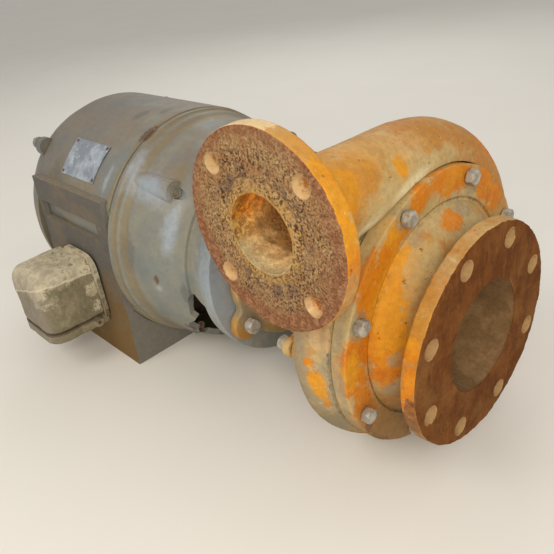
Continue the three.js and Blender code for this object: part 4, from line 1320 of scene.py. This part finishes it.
def rear_bell(looks):
    """Closed rear bell with four ears, and the through bolts' nuts on them."""
    seat = FRAME.back - GAP
    outline = [
        (seat, 0, 0), (seat, 170, 1), (-714, 168, 6), (-735, 161, 10), (-762, 148, 10), (-790, 129, 10),
        (-812, 108, 8), (-822, 88, 6), (REAR_END, 70, 4), (REAR_END, 0, 0),
    ]
    bell = lathed("rear_bell_casting", outline, 1, 4, 260)
    angles = UPPER_BOLTS.angles + LOWER_BOLTS.angles
    end = seat - REAR_EAR.depth
    for angle in angles:
        join(bell, stud(seat, end, REAR_EAR.radius, around(REAR_EAR.ring, angle)))
    weathered(bell, (1.0, 60), (0.3, 14), seed=28)
    note(bell, MOTOR_FIELDS, ochre=seams(places(bell), [(seat, 170)], 7))
    settled(bell, "motor_gray", looks, "rear_bell")
    for i, angle in enumerate(angles):
        place = around(REAR_NUT.ring, angle)
        bolt(f"rear_nut_{i + 1}", "hex", end, -1, place, REAR_NUT, 0, looks, "motor_gray")


def rounded_box(name, low, high, corner, cells):
    """Box with all edges rounded, as a fine grid drawn onto the rounded form."""
    work = bmesh.new()
    bmesh.ops.create_cube(work, size=2)
    bmesh.ops.subdivide_edges(work, edges=work.edges, cuts=cells - 1, use_grid_fill=True)
    unit = np.array([v.co for v in work.verts])
    mesh = bpy.data.meshes.new(name)
    work.to_mesh(mesh)
    work.free()
    middle, half = (low + high) / 2, (high - low) / 2
    point = unit * half
    core = np.clip(point, corner - half, half - corner)
    away = point - core
    length = np.linalg.norm(away, axis=1, keepdims=True)
    point = core + away / np.maximum(length, 1e-9) * np.where(length > 0, corner, 0)
    piece = linked(name, mesh)
    put(piece, point + middle)
    return piece


def above_crease(points):
    """Height above the crease, which wavers a little."""
    rise = CREASE.rise * (CREASE.y - points[:, 1])
    fall = CREASE.fall * np.minimum(points[:, 0] - CREASE.x, 0)
    return points[:, 2] - CREASE.height - rise - fall + CREASE.waver * lumps(points, 28, seed=41)


def dented(part):
    """Sinks the sheet below the crease, leaves a ridge along it and dents the whole."""
    points = places(part)
    crease = above_crease(points)
    below = 1 / (1 + np.exp(crease / 1.5))
    ridge = np.exp(-((crease / 2.5) ** 2)) * np.clip(0.6 + lumps(points, 20, seed=33), 0, 1)
    sunk(part, 0.8 + 0.7 * below - 0.8 * ridge)
    return weathered(part, (3.2, 50), (1.2, 18), (0.5, 7), (0.2, 3), seed=30)


def conduit_box(look):
    """Dented sheet box with a deep cover, a crease round it, a seam low down and a lug."""
    low, high = span("conduit_base", "conduit_cover")
    front, back, top, bottom = CONDUIT.front, CONDUIT.back, CONDUIT.top, CONDUIT.bottom
    corner, seam = CONDUIT.corner, bottom + CONDUIT.seam
    wall = span("left_side_plate")[0][1]
    box_low = np.array([back, low[1], bottom])
    box_high = np.array([front - CONDUIT.inset, high[1] + 2 * corner, top - CONDUIT.inset])
    base_low = box_low - (0, 0, corner - CONDUIT.below)
    cover = dented(rounded_box("conduit_cover_box", box_low, box_high, corner, CONDUIT.cells))
    base = dented(rounded_box("conduit_base_box", base_low, box_high, corner, CONDUIT.cells))
    room = box_tool((back - 5, low[1] - 5, seam + GAP), (front + 5, wall - 6.3, top + 5))
    combine(cover, "INTERSECT", room)
    room = box_tool((back - 5, low[1] - 5, bottom + 1), (front + 5, wall - GAP, seam))
    combine(base, "INTERSECT", room)
    edge = [(back + corner, bottom + 12), (front, bottom + 12, 8), (front, top), (back + corner, top)]
    edge = rounded(edge, corner - 3, 8)
    plate = loft("tool", [[(x, y, z) for x, z in edge] for y in (wall - GAP, wall - 4.5, wall - 6)])
    join(base, plate, stud(front - 25, front - LUG.proud, LUG.radius, LUG.place, 3, 48))
    cut(base, rod(front - 9, front + 2, LUG.hole, LUG.place))
    for part in (cover, base):
        points = places(part)
        crease = above_crease(points)
        note(
            part,
            CONDUIT_FIELDS,
            white=np.clip(crease / 6, -0.4, 0.4) + 0.9 * np.clip(blots(points, CONDUIT_WHITE_BLOTS), 0, 1),
            # pale: painted highlight along the ridge of the crease
            pale=0.55 - np.abs(crease + 2 * lumps(points, 14, seed=40)) / 2.6,
            seam=1.2 - np.abs(points[:, 2] - seam) / 2.4,
        )
    settled(cover, "conduit_paint", [look], "conduit_cover")
    settled(base, "conduit_paint", [look], "conduit_base")


def pin(x, angle, radius):
    """Small domed pin standing on the shell."""
    turns = np.linspace(0, 2 * math.pi, 20, endpoint=False)
    middle = np.array([x, *around(radius, angle)])
    outward = np.array([0, *around(1, angle)])
    sideways = np.array([0, *around(1, angle + 90)])
    rings = []
    for height, size in ((-0.6, 2), (0.5, 2), (1.0, 1.5), (1.2, 0.7)):
        circle = [size * (math.cos(t) * np.array([1, 0, 0]) + math.sin(t) * sideways) for t in turns]
        rings.append([middle + outward * height + c for c in circle])
    return loft("tool", rings)


def nameplate(look):
    """Thin blank plate, a little buckled, held by four pins."""
    inner = FRAME.radius + GAP
    outer = inner + NAMEPLATE.thick
    front, back, start, end = NAMEPLATE.front, NAMEPLATE.back, NAMEPLATE.start, NAMEPLATE.end
    angles = np.linspace(start, end, 56)
    rings = []
    for x in np.linspace(back, front, 84):
        bow = NAMEPLATE.buckle * np.array([noise.noise(Vector((x / 22, a / 5, 0))) for a in angles])
        along = np.full(len(angles), x)
        upper = np.stack([along, *around(outer - 0.3 + bow, angles)], axis=1)
        lower = np.stack([along, *around(inner, angles)], axis=1)
        rings.append(np.concatenate([upper, lower[::-1]]))
    plate = loft("nameplate_sheet", rings)
    spots = [(x, a) for x in (back + 4, front - 4) for a in (start + 1.4, end - 1.4)]
    join(plate, gathered([pin(x, a, outer - 0.3) for x, a in spots]))
    note(plate, ("pin",), pin=blots(places(plate), [(x, *around(outer, a), NAMEPLATE.pin) for x, a in spots]))
    settled(plate, "plate_metal", [look], "nameplate")


def keep(look, edge, *names):
    """Keeps solids as they are, with their edges broken."""
    for name in names:
        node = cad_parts[name]
        node.data.materials.clear()
        node.data.materials.append(look)
        worn_edges(node, edge).harden_normals = True


# Stage


def camera():
    azimuth, elevation, roll = np.radians((CAMERA.azimuth, CAMERA.elevation, CAMERA.roll))
    level = math.cos(elevation)
    back = Vector((math.sin(azimuth) * level, -math.cos(azimuth) * level, math.sin(elevation)))
    right = Vector((0, 0, 1)).cross(back).normalized()
    up = back.cross(right)
    turn = Matrix.Rotation(roll, 3, back)
    made = linked("photo_camera", bpy.data.cameras.new("photo_camera"))
    axes = Matrix((turn @ right, turn @ up, back)).transposed()
    made.matrix_world = Matrix.Translation(np.array(CAMERA.place) * MM + SHAFT) @ axes.to_4x4()
    made.data.lens = CAMERA.lens
    made.data.clip_start = 0.01
    bpy.context.scene.camera = made


def area_light(name, place, size, power, tint):
    data = bpy.data.lights.new(name, "AREA")
    data.size = size
    data.energy = power
    data.color = tint
    made = linked(name, data)
    made.location = place
    aim = Vector(LIGHTS_AIM) - Vector(place)
    made.rotation_mode = "QUATERNION"
    made.rotation_quaternion = aim.to_track_quat("-Z", "Y")


def studio():
    """Soft lights, an even sky and a pale floor."""
    for name, light in LIGHTS.items():
        area_light(name, *light)
    world = bpy.data.worlds.new("studio")
    world.use_nodes = True
    sky = world.node_tree.nodes["Background"].inputs
    sky[0].default_value = SKY.tint
    sky[1].default_value = SKY.strength
    bpy.context.scene.world = world
    bpy.context.scene.view_settings.view_transform = "Standard"
    floor_mesh = bpy.data.meshes.new("floor")
    corners = [(x * FLOOR_REACH, y * FLOOR_REACH, 0) for x, y in ((-1, -1), (1, -1), (1, 1), (-1, 1))]
    floor_mesh.from_pydata(corners, [], [(0, 1, 2, 3)])
    floor_mesh.materials.append(floor_finish())
    floor = linked("floor", floor_mesh)


camera()
studio()
paint, steel_look, iron = pump_paint(), steel(), rusty_iron()
volute_casing([paint, discharge_rust()])
suction_cover([paint, suction_rust()])
bolts([steel_look])
bracket([paint])
seal_and_shaft([iron])
keep(iron, 1, "impeller")
gray = motor_paint()
front_bell([gray])
end_winding(winding_varnish())
stator_frame(gray)
rear_bell([gray])
keep(base_paint(), 1.5, "left_side_plate", "right_side_plate", "front_foot", "rear_foot")
conduit_box(conduit_paint())
nameplate(plate_metal())
